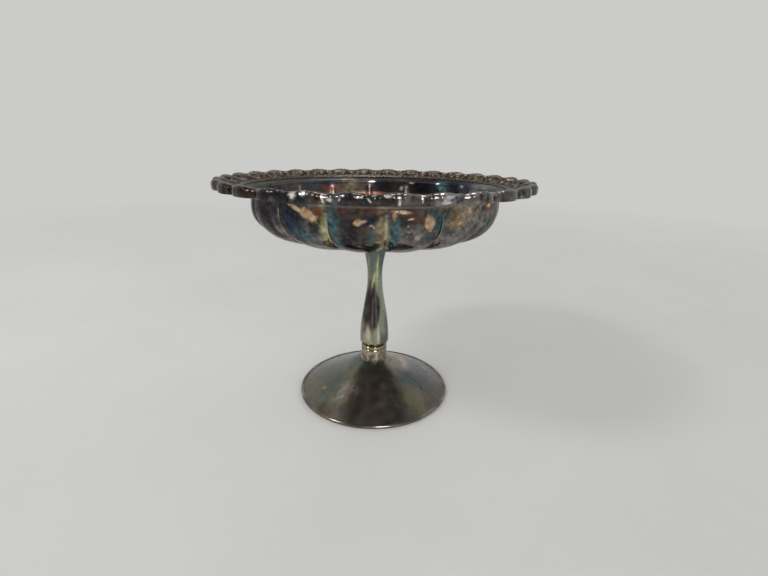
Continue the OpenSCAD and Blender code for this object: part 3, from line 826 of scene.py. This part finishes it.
def stem_outline():
    neck = Z_STEM + (Z_STEM_TOP - Z_STEM) * NECK_AT
    belly = Z_STEM + STEM_BEVEL_H
    flare = [
        (STEM_TOP_R, Z_STEM_TOP),
        (mix(STEM_NECK_R, STEM_TOP_R, STEM_FLARE[0]), mix(Z_STEM_TOP, neck, STEM_FLARE[1])),
        (STEM_NECK_R, mix(Z_STEM_TOP, neck, STEM_FLARE_END)),
        (STEM_NECK_R, neck),
    ]
    swell = [
        (STEM_NECK_R, neck),
        (STEM_NECK_R, mix(neck, belly, STEM_SWELL_START)),
        (STEM_BELLY_R, mix(belly, neck, STEM_SWELL_END)),
        (STEM_BELLY_R, belly),
    ]
    t = np.linspace(0, 1, STEM_ROWS)
    turned = np.concatenate([curve(flare, t)[0][:-1], curve(swell, t)[0][:-1]])
    edge = np.array([[STEM_BELLY_R, belly]])
    bevel = mix(edge, np.array([[STEM_FOOT_R, Z_STEM]]), np.linspace(0, 1, BEVEL_ROWS)[1:, None])
    soft_edge = [edge + [[0, EDGE_SOFT]], edge + EDGE_SOFT * np.array(BEVEL_SOFT)]
    outside = np.concatenate([turned, *soft_edge, bevel])[::-1]
    socket_z = Z_STEM_TOP - SOCKET_H
    bore = [(SOCKET_R, Z_STEM_TOP), (SOCKET_R, socket_z), (BORE_R, socket_z), (BORE_R, Z_STEM)]
    return np.concatenate([outside, bore])


# Marks on the stem, which are long and narrow, with tints and pulls for some: painted dark reflection down
# the belly with mauve inside it, and painted highlights in lime and pale straw
STEM_DARK_REFLECTION = [(-44, 30, 5.0, 15, 0.05), (-12, 27, 4.6, 14), (4, 26, 2.6, 11, -0.05), (-16, 43, 1.8, 6)]
STEM_REFLECTION_INNER = [(4, 32, 0.8, 12), (-13, 26, 0.7, 10)]
STEM_LIME_GLINTS = [(15, 56, 1.0, 9), (-12, 50, 0.7, 6, -0.2)]
STEM_PALE_GLINTS = [(-28, 10, 1.6, 6, 0.15), (13, 9, 0.9, 9)]
STEM_MARKS = [
    (SLATE, 4, -40, 72, 8, 3), (BROWN, 2, -25, 70, 3, 3), (TEAL, 5, -45, 62, 4, 8),
    (TEAL, 5, 34, 66, 7, 8), (CYAN, 2, 48, 50, 2.5, 7), (CYAN, 2, -52, 52, 2, 7),
    (OLIVE, 4, -10, 62, 3, 6), (MOSS, 4, -38, 47, 2.5, 4), (TAN, 3, -12, 50, 1.6, 6),
    (MOSS, 5, 18, 56, 2, 8), (MINT, 4, 38, 34, 4, 10), (NAVY, 3.5, 44, 6, 4, 4),
    (MINT, 4, 26, 14, 4, 7), (DRAB, 3, -70, 16, 4, 12), (DRAB, 3, 72, 15, 4, 14),
    (STRAW, 4, -32, 10, 4, 8), (OLIVE, 4, -4, 9, 3, 6),
]
# Noise on the stem is drawn out along it
STEM_STRETCH = [1.6, 1.6, 0.4]
STEM_EDGES, STEM_LONG_EDGES = ((0.12, 8, 60),), ((0.10, 5, 61),)
STEM_CLOUDS, STEM_LONG_CLOUDS = ((0.25, 18, 62),), ((0.3, 9, 63),)
STEM_WASHES = [(STRAW, 0.6, 7, 66, 0.5, 0.7), (DRAB, 0.6, 12, 65, 0.3, 0.6)]
STEM_REFLECTION_WASHES = [(BROWN, 0.5, 6, 64, 0.1, 0.5)]
# Washes over marks: tint, share, marks and softness
STEM_REFLECTION_INKS = [(INK, 0.55, STEM_DARK_REFLECTION[:2], 0.8)]
STEM_GLINTS_AND_REFLECTION = [(MAUVE, 0.8, STEM_REFLECTION_INNER, 1.0), (CREAM, 0.85, STEM_PALE_GLINTS, 1.0), (LIME, 0.9, STEM_LIME_GLINTS, 1.2)]
STEM_REFLECTION_SHARE, STEM_REFLECTION_SOFT = 0.95, 0.6


def make_stem(material):
    points = lathe_points(stem_outline(), STEM_COLUMNS)
    wall = Wall(points, Z_STEM)
    long = points * STEM_STRETCH
    cloudy = layered(points, STEM_EDGES) + layered(long, STEM_LONG_EDGES)
    ground = shaded(MINT, layered(points, STEM_CLOUDS) + layered(long, STEM_LONG_CLOUDS))
    tint = clouded(wall.drawn(ground, STEM_MARKS, cloudy), long, STEM_WASHES)
    # Painted dark reflection down the belly, then painted highlights over it
    dark = wall.ovals(STEM_DARK_REFLECTION, STEM_REFLECTION_SOFT, cloudy)
    tint = washed(tint, UMBER, STEM_REFLECTION_SHARE * dark)
    tint = marked(tint, wall, STEM_REFLECTION_INKS, cloudy)
    tint = clouded(tint, long, STEM_REFLECTION_WASHES, dark)
    values = {"tint": marked(tint, wall, STEM_GLINTS_AND_REFLECTION, cloudy)}
    place(grid_mesh("stem_turned", points, values, True, True), material, "stem")


# Rows of the collar's spread foot, of its side and of what lies above its line
SPREAD_ROWS, SIDE_ROWS, TOP_ROWS, SPREAD_POWER, COLLAR_EDGE = 7, 9, 5, 0.7, 0.3
COLLAR_STRETCH, COLLAR_DARKER = [1.2, 1.2, 0.3], 0.28
COLLAR_LONG_CLOUDS, COLLAR_CLOUDS, COLLAR_EDGES = ((0.25, 7, 71),), ((0.2, 4, 72),), ((0.2, 2, 78),)
COLLAR_LONG_WASHES = [
    (OLIVE, 0.8, 9, 77, 0.1, 0.6),
    (BROWN, 0.8, 5, 76, 0.3, 0.5),
    (STRAW, 0.8, 6, 74, 0.1, 0.6),
]
COLLAR_WASHES = [(CREAM, 0.6, 5, 75, 0.7, 0.5)]
# Painted highlights on the collar, as pale streaks
COLLAR_GLINTS = [(8, 4, 0.6, 4.5), (-38, 3.4, 0.5, 2.6, 0.7), (-24, 6.6, 1.2, 0.5), (10, 6.8, 1.2, 0.5)]
COLLAR_GLINT_WASH = [(CREAM, 0.8, COLLAR_GLINTS, 1.0)]


def collar_outline():
    foot_r = COLLAR_R + COLLAR_SPREAD
    low, top, line = Z_COLLAR + COLLAR_SPREAD_H, Z_STEM - COLLAR_BEVEL, Z_STEM - COLLAR_LINE_DROP
    share = np.linspace(0, 1, SPREAD_ROWS + 1)
    spread = smooth(share) ** SPREAD_POWER
    outline = [(mix(foot_r, COLLAR_R, s), Z_COLLAR + COLLAR_SPREAD_H * up) for s, up in zip(spread, share)]
    outline += [(COLLAR_R, z) for z in np.linspace(low, line - COLLAR_LINE_W, SIDE_ROWS)[1:]]
    outline += [(COLLAR_R - COLLAR_LINE_D, line - COLLAR_LINE_W / 2), (COLLAR_R, line)]
    outline += [(COLLAR_R, z) for z in np.linspace(line, top - EDGE_SOFT, TOP_ROWS)[1:]]
    outline += [(COLLAR_R - EDGE_SOFT * COLLAR_EDGE, top)]
    outline += [((COLLAR_R + STEM_FOOT_R) / 2, (top + Z_STEM) / 2), (STEM_FOOT_R, Z_STEM)]
    return outline + [(BORE_R, Z_STEM), (BORE_R, Z_COLLAR)]


def make_collar(material):
    points = lathe_points(collar_outline(), STEM_COLUMNS)
    long = points * COLLAR_STRETCH
    clouds = layered(long, COLLAR_LONG_CLOUDS) + layered(points, COLLAR_CLOUDS) - COLLAR_DARKER
    tint = clouded(shaded(TAN, clouds), long, COLLAR_LONG_WASHES)
    tint = clouded(tint, points, COLLAR_WASHES)
    # Painted highlights
    tint = marked(tint, Wall(points, Z_COLLAR), COLLAR_GLINT_WASH, layered(points, COLLAR_EDGES))
    piece = grid_mesh("collar_turned", points, {"tint": tint}, True, True)
    place(piece, material, "collar")


# Foot and its wire

# Marks on the cone of the foot, as angle from the front and height above the ground
FOOT_MARKS = [
    (TEAL, 3, -64, 12, 9, 5), (TEAL, 3, 62, 14, 8, 5), (OLIVE, 4, -48, 18, 8, 5),
    (SAGE, 2, -60, 5, 6, 2.5), (BROWN, 2.5, -44, 3.5, 6, 2), (DRAB, 3, -33, 5.5, 5, 2.5),
    (OLIVE, 3, -40, 8, 6, 3), (BLUSH, 9, 88, 21, 10, 5), (BLUSH, 3, -88, 18, 8, 4),
    (OLIVE, 2, 40, 8, 9, 4), (MAUVE, 5, 96, 11, 16, 6), (MAUVE, 4, -100, 10, 14, 6),
    (SAGE, 3, -80, 6, 10, 4), (TEAL, 2, -32, 22, 6, 3), (DRAB, 2, 75, 5, 12, 3),
]
# Painted highlights on the foot: a pale patch at the left, one at the right, and two narrow streaks
FOOT_GLINTS = [(-38, 11.5, 5.0, 3.2, -0.1), (92, 18, 6, 1.6), (-24, 10.5, 0.5, 1.8), (-26, 13.5, 0.4, 1.0)]
# Thin dark lines at the right, painted reflection of the stem and bowl
FOOT_REFLECTION_LINES = [(57.5, 15.5, 4.9, 0.4, -1.16), (57.3, 9.5, 2.9, 0.4, 0.55)]
FOOT_COPPER = [(110, 17, 3.2, 1.1), (103, 8, 2.4, 1.1, 0.3), (-66, 8.5, 1.2, 0.6, 0.2)]
FOOT_SPOTS = zip([TEAL, OLIVE, MAUVE, TEAL], scattered(86, 4, (6, 18), (8, 12)))
FOOT_MARKS += [(tint, 4, *spot) for tint, spot in FOOT_SPOTS]
FOOT_EDGES, FOOT_SOFT_EDGES = ((0.25, 3, 80), (0.2, 1.5, 81)), ((0.2, 10, 82), (0.12, 4, 83))
FOOT_CLOUDS, FOOT_WASHES = ((0.2, 22, 84), (0.25, 8, 85)), [(BROWN, 0.4, 7, 88, 0.7, 0.6)]
FOOT_GLINT_WASH, FOOT_REFLECTION_INKS = [(BLUSH, 0.95, FOOT_GLINTS, 1.5)], [(INK, 0.7, FOOT_REFLECTION_LINES, 1.2)]
FOOT_REFLECTION_RAGGED, FOOT_COPPER_SHARE, FOOT_COPPER_SOFT, FOOT_DULL = 0.3, 0.4, 1.5, 0.10
# Level of the film, and its higher level a little to the left of the front, painted light against the
# bowl's dark reflection there, with the fade between
FOOT_LEVEL, FOOT_FRONT_PAINTED_LEVEL, FRONT_LEFT = 0.8, 1.1, math.radians(14)
OFF_FRONT = (math.radians(54.6), math.radians(-42))
# Rows of the cone outside and inside, and where they begin and end as shares of its length
CONE_ROWS, CONE_IN_ROWS, CONE_START, CONE_IN_END, CONE_COLUMNS = 72, 40, 0.004, 0.03, 256
# Softening of the cone's top edge
CONE_SOFT = 0.12
WIRE_AT = (FOOT_R - WIRE_R, WIRE_R - WIRE_FLAT)
WIRE_ROWS, WIRE_COLUMNS = 28, 240
WIRE_CLOUDS, WIRE_STRAW, WIRE_LEVEL, WIRE_SHARE = ((0.3, 12, 91),), ((0.6, 14, 92),), 0.3, 0.3


def foot_outline():
    """Section of the cone, and which of its rows lie outside."""
    top_r = COLLAR_R + COLLAR_SPREAD + FOOT_LEDGE
    top = np.array((top_r, Z_COLLAR))
    run = np.array((WIRE_AT[0] + WIRE_R / 2, WIRE_AT[1])) - top
    long = np.linalg.norm(run)
    inward = np.array((run[1], -run[0])) / long * SHEET
    stop = 1 - (WIRE_R + FILM_GAP) / long
    seat_r = top_r + inward[0] - (SHEET + inward[1]) * run[0] / run[1]
    outer = [(BORE_R, Z_COLLAR), (top_r - CONE_SOFT, Z_COLLAR)]
    outer += [top + run * s for s in np.linspace(CONE_START, stop, CONE_ROWS)]
    inner = [top + inward + run * s for s in np.linspace(stop, CONE_IN_END, CONE_IN_ROWS)]
    inner += [(seat_r, Z_COLLAR - SHEET), (BORE_R, Z_COLLAR - SHEET)]
    outside = np.repeat([1.0, 0.0], [len(outer), len(inner)])
    return (outer + inner)[::-1], outside[::-1, None]


def make_foot(material):
    outline, outside = foot_outline()
    points = lathe_points(outline, CONE_COLUMNS)
    wall = Wall(points, 0.0)
    ragged = layered(points, FOOT_EDGES)
    cloudy = layered(points, FOOT_SOFT_EDGES)
    # Painted light: the film is brighter a little to the left of the front and darker around it
    front = fade(np.abs(wrapped(wall.angle - FRONT) + FRONT_LEFT), *OFF_FRONT)
    tint = wall.drawn(shaded(FOOT_GROUND, layered(points, FOOT_CLOUDS)), FOOT_MARKS, cloudy)
    tint = tint * mix(FOOT_LEVEL, FOOT_FRONT_PAINTED_LEVEL, front)[..., None]
    # Painted highlights
    tint = marked(tint, wall, FOOT_GLINT_WASH, ragged, outside)
    # Painted dark reflection lines
    tint = marked(tint, wall, FOOT_REFLECTION_INKS, FOOT_REFLECTION_RAGGED * ragged, outside)
    tint = clouded(tint, points, FOOT_WASHES)
    tint = washed(tint, DRAB, 1 - outside)
    worn = FOOT_COPPER_SHARE * wall.ovals(FOOT_COPPER, FOOT_COPPER_SOFT, ragged) * outside
    values = {"tint": tint, "worn": worn, "dull": FOOT_DULL + 0 * worn}
    place(grid_mesh("foot_cone", points, values, True, True), material, "foot")


def make_wire(material):
    turn = np.arange(WIRE_ROWS) / WIRE_ROWS * TURN
    ring_z = np.maximum(WIRE_AT[1] + WIRE_R * np.sin(turn), 0)
    outline = np.stack([WIRE_AT[0] + WIRE_R * np.cos(turn), ring_z], 1)
    points = lathe_points(outline, WIRE_COLUMNS)
    tint = shaded(DRAB, layered(points, WIRE_CLOUDS))
    tint = washed(tint, STRAW, WIRE_SHARE * smooth(WIRE_LEVEL + layered(points, WIRE_STRAW)))
    piece = grid_mesh("foot_edge_wire", points, {"tint": tint}, True, True)
    place(piece, material, "foot_wire")


# Materials


class Tree:
    """Nodes of a material or world, built from left to right."""

    def __init__(self, owner):
        owner.use_nodes = True
        self.nodes, self.links = owner.node_tree.nodes, owner.node_tree.links

    def feed(self, node, inputs):
        """Links or sets a node's inputs."""
        for key, value in inputs.items():
            socket = node.inputs[key]
            if isinstance(value, bpy.types.NodeSocket):
                self.links.new(value, socket)
            else:
                socket.default_value = (*value, 1) if socket.type == "RGBA" else value

    def add(self, kind, inputs=None, **settings):
        node = self.nodes.new(kind)
        for key, value in settings.items():
            setattr(node, key, value)
        self.feed(node, inputs or {})
        return node

    def value(self, name, output="Fac"):
        return self.add("ShaderNodeAttribute", attribute_name=name).outputs[output]

    def noise(self, scale, detail, roughness=0.55, stretch=(1, 1, 1)):
        where = self.add("ShaderNodeTexCoord").outputs["Object"]
        where = self.add("ShaderNodeMapping", {"Vector": where, "Scale": stretch}).outputs["Vector"]
        inputs = {"Vector": where, "Scale": scale, "Detail": detail, "Roughness": roughness}
        return self.add("ShaderNodeTexNoise", inputs).outputs["Fac"]

    def math(self, operation, a, b, clamp=False):
        return self.add("ShaderNodeMath", {0: a, 1: b}, operation=operation, use_clamp=clamp).outputs[0]

    def span(self, value, limits, levels):
        """Value brought from between limits to between levels."""
        inputs = dict(zip(("From Min", "From Max", "To Min", "To Max"), (*limits, *levels)))
        return self.add("ShaderNodeMapRange", {"Value": value, **inputs}).outputs["Result"]

    def blend(self, weight, a, b):
        return self.add("ShaderNodeMix", {0: weight, 6: a, 7: b}, data_type="RGBA").outputs[2]

    def surface(self, colour, roughness, height, depth, **others):
        """Feeds the shader of a material, where others are inputs by name."""
        bump = self.add("ShaderNodeBump", {"Height": height, "Strength": BUMP, "Distance": depth})
        shader = self.nodes["Principled BSDF"]
        inputs = {"Base Color": colour, "Roughness": roughness, "Normal": bump.outputs["Normal"]}
        self.feed(shader, {**inputs, **others})
        return shader


# Strength of bumps
BUMP = 0.6
COPPER_BARE, COPPER_PALE = (0.78, 0.46, 0.26), (0.92, 0.68, 0.44)
SOIL, CREVICE, WORN_HIGH = (0.060, 0.050, 0.043), (0.026, 0.019, 0.014), (0.44, 0.35, 0.23)
# Fine films over the tints: colour, and scale, detail, roughness and stretch of the noise
FILMS = [
    ((0.055, 0.085, 0.120), (130, 5, 0.55, (1, 1, 1))),
    ((0.150, 0.100, 0.070), (210, 5, 0.6, (1, 1, 1.3))),
]
FILM_LIMITS, SOIL_LIMITS, SOIL_LEVELS = (0.5, 0.8), (0.52, 0.75), (0, 0.55)
# Noises of copper, soil, gloss, scratches and dimples in the same way, and limits between which they count
COPPER_NOISE, SOIL_NOISE, GLOSS_NOISE = (260, 3), (420, 6, 0.65), (45, 5)
SCRATCH_NOISE, SCRATCH_SHARE, DIMPLE_NOISE, METAL_BUMP = (420, 3, 0.6, (1, 1, 0.1)), 0.25, (110, 3), 0.00006
MIDDLE, WIDER = (0.35, 0.65), (0.3, 0.7)
# Relief that is dark as a crevice, and relief that is worn bright, with their shares
CREVICE_LIMITS, CREVICE_LEVELS = (0.10, 0.62), (0.95, 0)
WORN_LIMITS, WORN_LEVELS = (0.88, 1.0), (0, 0.22)
# Change of gloss over the film and on bare copper
GLOSS_CHANGE, COPPER_DULL = 0.12, 0.12


def tarnished(name, mottle, shine, low_angle, carved=False):
    """Silver plate under a tarnish film.

    Mottle is the film's fine change, shine its least roughness and low_angle its shine seen from the side.
    """
    material = bpy.data.materials.new(name)
    tree = Tree(material)
    colour, worn = tree.value("tint", "Color"), tree.value("worn")
    for film, noise in FILMS:
        colour = tree.blend(tree.span(tree.noise(*noise), FILM_LIMITS, (0, mottle)), colour, film)
    bare = tree.blend(tree.span(tree.noise(*COPPER_NOISE), MIDDLE, (0, 1)), COPPER_BARE, COPPER_PALE)
    colour = tree.blend(worn, colour, bare)
    colour = tree.blend(tree.span(tree.noise(*SOIL_NOISE), SOIL_LIMITS, SOIL_LEVELS), colour, SOIL)
    if carved:
        relief = tree.value("relief")
        colour = tree.blend(tree.span(relief, CREVICE_LIMITS, CREVICE_LEVELS), colour, CREVICE)
        colour = tree.blend(tree.span(relief, WORN_LIMITS, WORN_LEVELS), colour, WORN_HIGH)
    rough = tree.span(tree.noise(*GLOSS_NOISE), WIDER, (shine, shine + GLOSS_CHANGE))
    rough = tree.math("ADD", rough, tree.math("MULTIPLY", worn, COPPER_DULL))
    rough = tree.math("ADD", rough, tree.value("dull"))
    scratch = tree.math("MULTIPLY", tree.noise(*SCRATCH_NOISE), SCRATCH_SHARE)
    height = tree.math("ADD", scratch, tree.noise(*DIMPLE_NOISE))
    edge_tint = {"Specular Tint": (low_angle, low_angle, low_angle)}
    tree.surface(colour, rough, height, METAL_BUMP, Metallic=1.0, **edge_tint)
    return material


PATCH_NOISE, PATCH_LIMITS, DULL_NOISE, DULL_CHANGE = (160, 5), (0.35, 0.7), (420, 4), 0.25
RING_NOISE, RING_BUMP = (900, 3, 0.6, (1, 1, 6)), 0.00008


def plain_metal(name, light, dark, shine, *nodes):
    """Turned metal with fine rings and dull patches, on nodes of the solids."""
    material = bpy.data.materials.new(name)
    tree = Tree(material)
    colour = tree.blend(tree.span(tree.noise(*PATCH_NOISE), PATCH_LIMITS, (0, 1)), light, dark)
    rough = tree.span(tree.noise(*DULL_NOISE), WIDER, (shine, shine + DULL_CHANGE))
    tree.surface(colour, rough, tree.noise(*RING_NOISE), RING_BUMP, Metallic=1.0)
    for node in nodes:
        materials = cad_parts[node].data.materials
        materials.clear()
        materials.append(material)


# Stage

PALE = (0.6, 0.6, 0.59)
# The studio is dimmer toward the front: where the change lies, and its levels
DIM_LIMITS, DIM_LEVELS = (-0.75, 0.15), (0.6, 1.0)
# Strength of the light that reaches the floor from the horizon
FILL, FILL_POWER = 7.0, 2.0
FLOOR_HALF, FLOOR_TINTS = 3.0, ((0.66, 0.66, 0.645), (0.69, 0.69, 0.675))
FLOOR_NOISE, FLOOR_GLOSS_NOISE, FLOOR_GLOSS = (6, 5), (60, 3), (0.5, 0.65)
FLOOR_GRAIN, FLOOR_BUMP = (700, 2), 0.00005
# Distances over which the floor runs out into the background, in metres
FLOOR_FADE = (0.4, 1.3)


def floor_material():
    """Pale matt floor that runs out into the pale background."""
    material = bpy.data.materials.new("pale_floor")
    tree = Tree(material)
    colour = tree.blend(tree.span(tree.noise(*FLOOR_NOISE), MIDDLE, (0, 1)), *FLOOR_TINTS)
    rough = tree.span(tree.noise(*FLOOR_GLOSS_NOISE), WIDER, FLOOR_GLOSS)
    shader = tree.surface(colour, rough, tree.noise(*FLOOR_GRAIN), FLOOR_BUMP)
    place_at = tree.add("ShaderNodeNewGeometry").outputs["Position"]
    far = tree.add("ShaderNodeVectorMath", {0: place_at}, operation="LENGTH").outputs["Value"]
    way = tree.add("ShaderNodeVectorMath", {0: place_at}, operation="NORMALIZE").outputs["Vector"]
    back = tree.add("ShaderNodeSeparateXYZ", {0: way}).outputs["Y"]
    level = tree.span(back, DIM_LIMITS, DIM_LEVELS)
    glow = tree.add("ShaderNodeEmission", {"Color": PALE, "Strength": level})
    shares = {0: tree.span(far, FLOOR_FADE, (0, 1)), 1: shader.outputs[0], 2: glow.outputs[0]}
    both = tree.add("ShaderNodeMixShader", shares)
    tree.feed(tree.nodes["Material Output"], {"Surface": both.outputs[0]})
    return material


def make_floor():
    corners = [(x * FLOOR_HALF, y * FLOOR_HALF, 0) for x, y in ((-1, -1), (1, -1), (1, 1), (-1, 1))]
    mesh = bpy.data.meshes.new("floor")
    mesh.from_pydata(corners, [], [(0, 1, 2, 3)])
    mesh.materials.append(floor_material())
    floor = shown("floor", mesh)


def make_world():
    """Pale studio, as the camera and the metal see it, with a light from low all around for the floor."""
    world = bpy.data.worlds.new("studio")
    scene.world = world
    tree = Tree(world)
    generated = tree.add("ShaderNodeTexCoord").outputs["Generated"]
    way = tree.add("ShaderNodeSeparateXYZ", {0: generated}).outputs
    low = tree.math("SUBTRACT", 1.0, way["Z"], clamp=True)
    fill = tree.math("MULTIPLY", tree.math("POWER", low, FILL_POWER), FILL)
    path = tree.add("ShaderNodeLightPath").outputs
    seen = tree.math("MAXIMUM", path["Is Camera Ray"], path["Is Glossy Ray"])
    seen = tree.math("MAXIMUM", seen, path["Is Transmission Ray"])
    level = tree.span(way["Y"], DIM_LIMITS, DIM_LEVELS)
    strength = tree.add("ShaderNodeMix", {0: seen, 2: fill, 3: level}).outputs[0]
    tree.feed(tree.nodes["Background"], {"Color": PALE, "Strength": strength})


# Lamps: name, place, size, power, and whether the floor sees their light; all aim at one point
LAMP_AIM = (0, 0, 0.1)
LAMPS = [
    ("left", (-0.77, -0.25, 0.89), (0.20, 0.20), 3, True),
    ("front", (0.13, -0.85, 0.62), (0.30, 0.60), 5.2, False),
    ("top", (0.1, 0.2, 1.2), (0.45, 0.45), 4, False),
]


def make_lamp(name, place_at, size, power, on_floor):
    data = bpy.data.lights.new(name, "AREA")
    data.shape = "RECTANGLE"
    data.size, data.size_y = size
    data.energy = power
    lamp = shown(name, data)
    lamp.location = place_at
    lamp.visible_diffuse = on_floor
    away = Vector(place_at) - Vector(LAMP_AIM)
    lamp.rotation_euler = away.to_track_quat("Z", "Y").to_euler()


# Camera fitted to the photograph: a 768 by 576 picture, focal length in its pixels
PICTURE_W = 768
FOCAL_PX = 425.0
CAMERA_TURN = math.radians(-5.25)
CAMERA_DOWN, CAMERA_ROLL = math.radians(18.54), math.radians(1.03)
CAMERA_AT = (6.6, -287.5, 175.1)
CLIP = (0.01, 20)


def make_camera():
    data = bpy.data.cameras.new("camera")
    data.lens = FOCAL_PX / PICTURE_W * data.sensor_width
    data.clip_start, data.clip_end = CLIP
    camera = shown("camera", data)
    at = Matrix.Rotation(CAMERA_TURN, 4, "Z") @ Matrix.Translation([v * MM for v in CAMERA_AT])
    tip = Matrix.Rotation(math.pi / 2 - CAMERA_DOWN, 4, "X") @ Matrix.Rotation(CAMERA_ROLL, 4, "Z")
    camera.matrix_world = at @ tip
    scene.camera = camera


# Assembly

bowl_metal = tarnished("tarnished_bowl", 0.5, 0.09, 0.55)
border_metal = tarnished("tarnished_border", 0.35, 0.10, 0.85, carved=True)
stem_metal = tarnished("tarnished_stem", 0.3, 0.09, 1.0)
foot_metal = tarnished("tarnished_foot", 0.45, 0.10, 1.0)
plain_metal("turned_brass", (0.62, 0.47, 0.22), (0.30, 0.21, 0.10), 0.25, "bowl_boss", "washer")
plain_metal("plain_steel", (0.50, 0.50, 0.51), (0.22, 0.20, 0.18), 0.28, "tie_rod", "nut")

make_bowl(bowl_metal)
for border_index in range(LENGTHS):
    make_border(border_index, border_metal)
make_stem(stem_metal)
make_collar(stem_metal)
make_foot(foot_metal)
make_wire(foot_metal)

make_floor()
make_world()
for lamp_values in LAMPS:
    make_lamp(*lamp_values)
make_camera()
scene.view_settings.view_transform = "Standard"
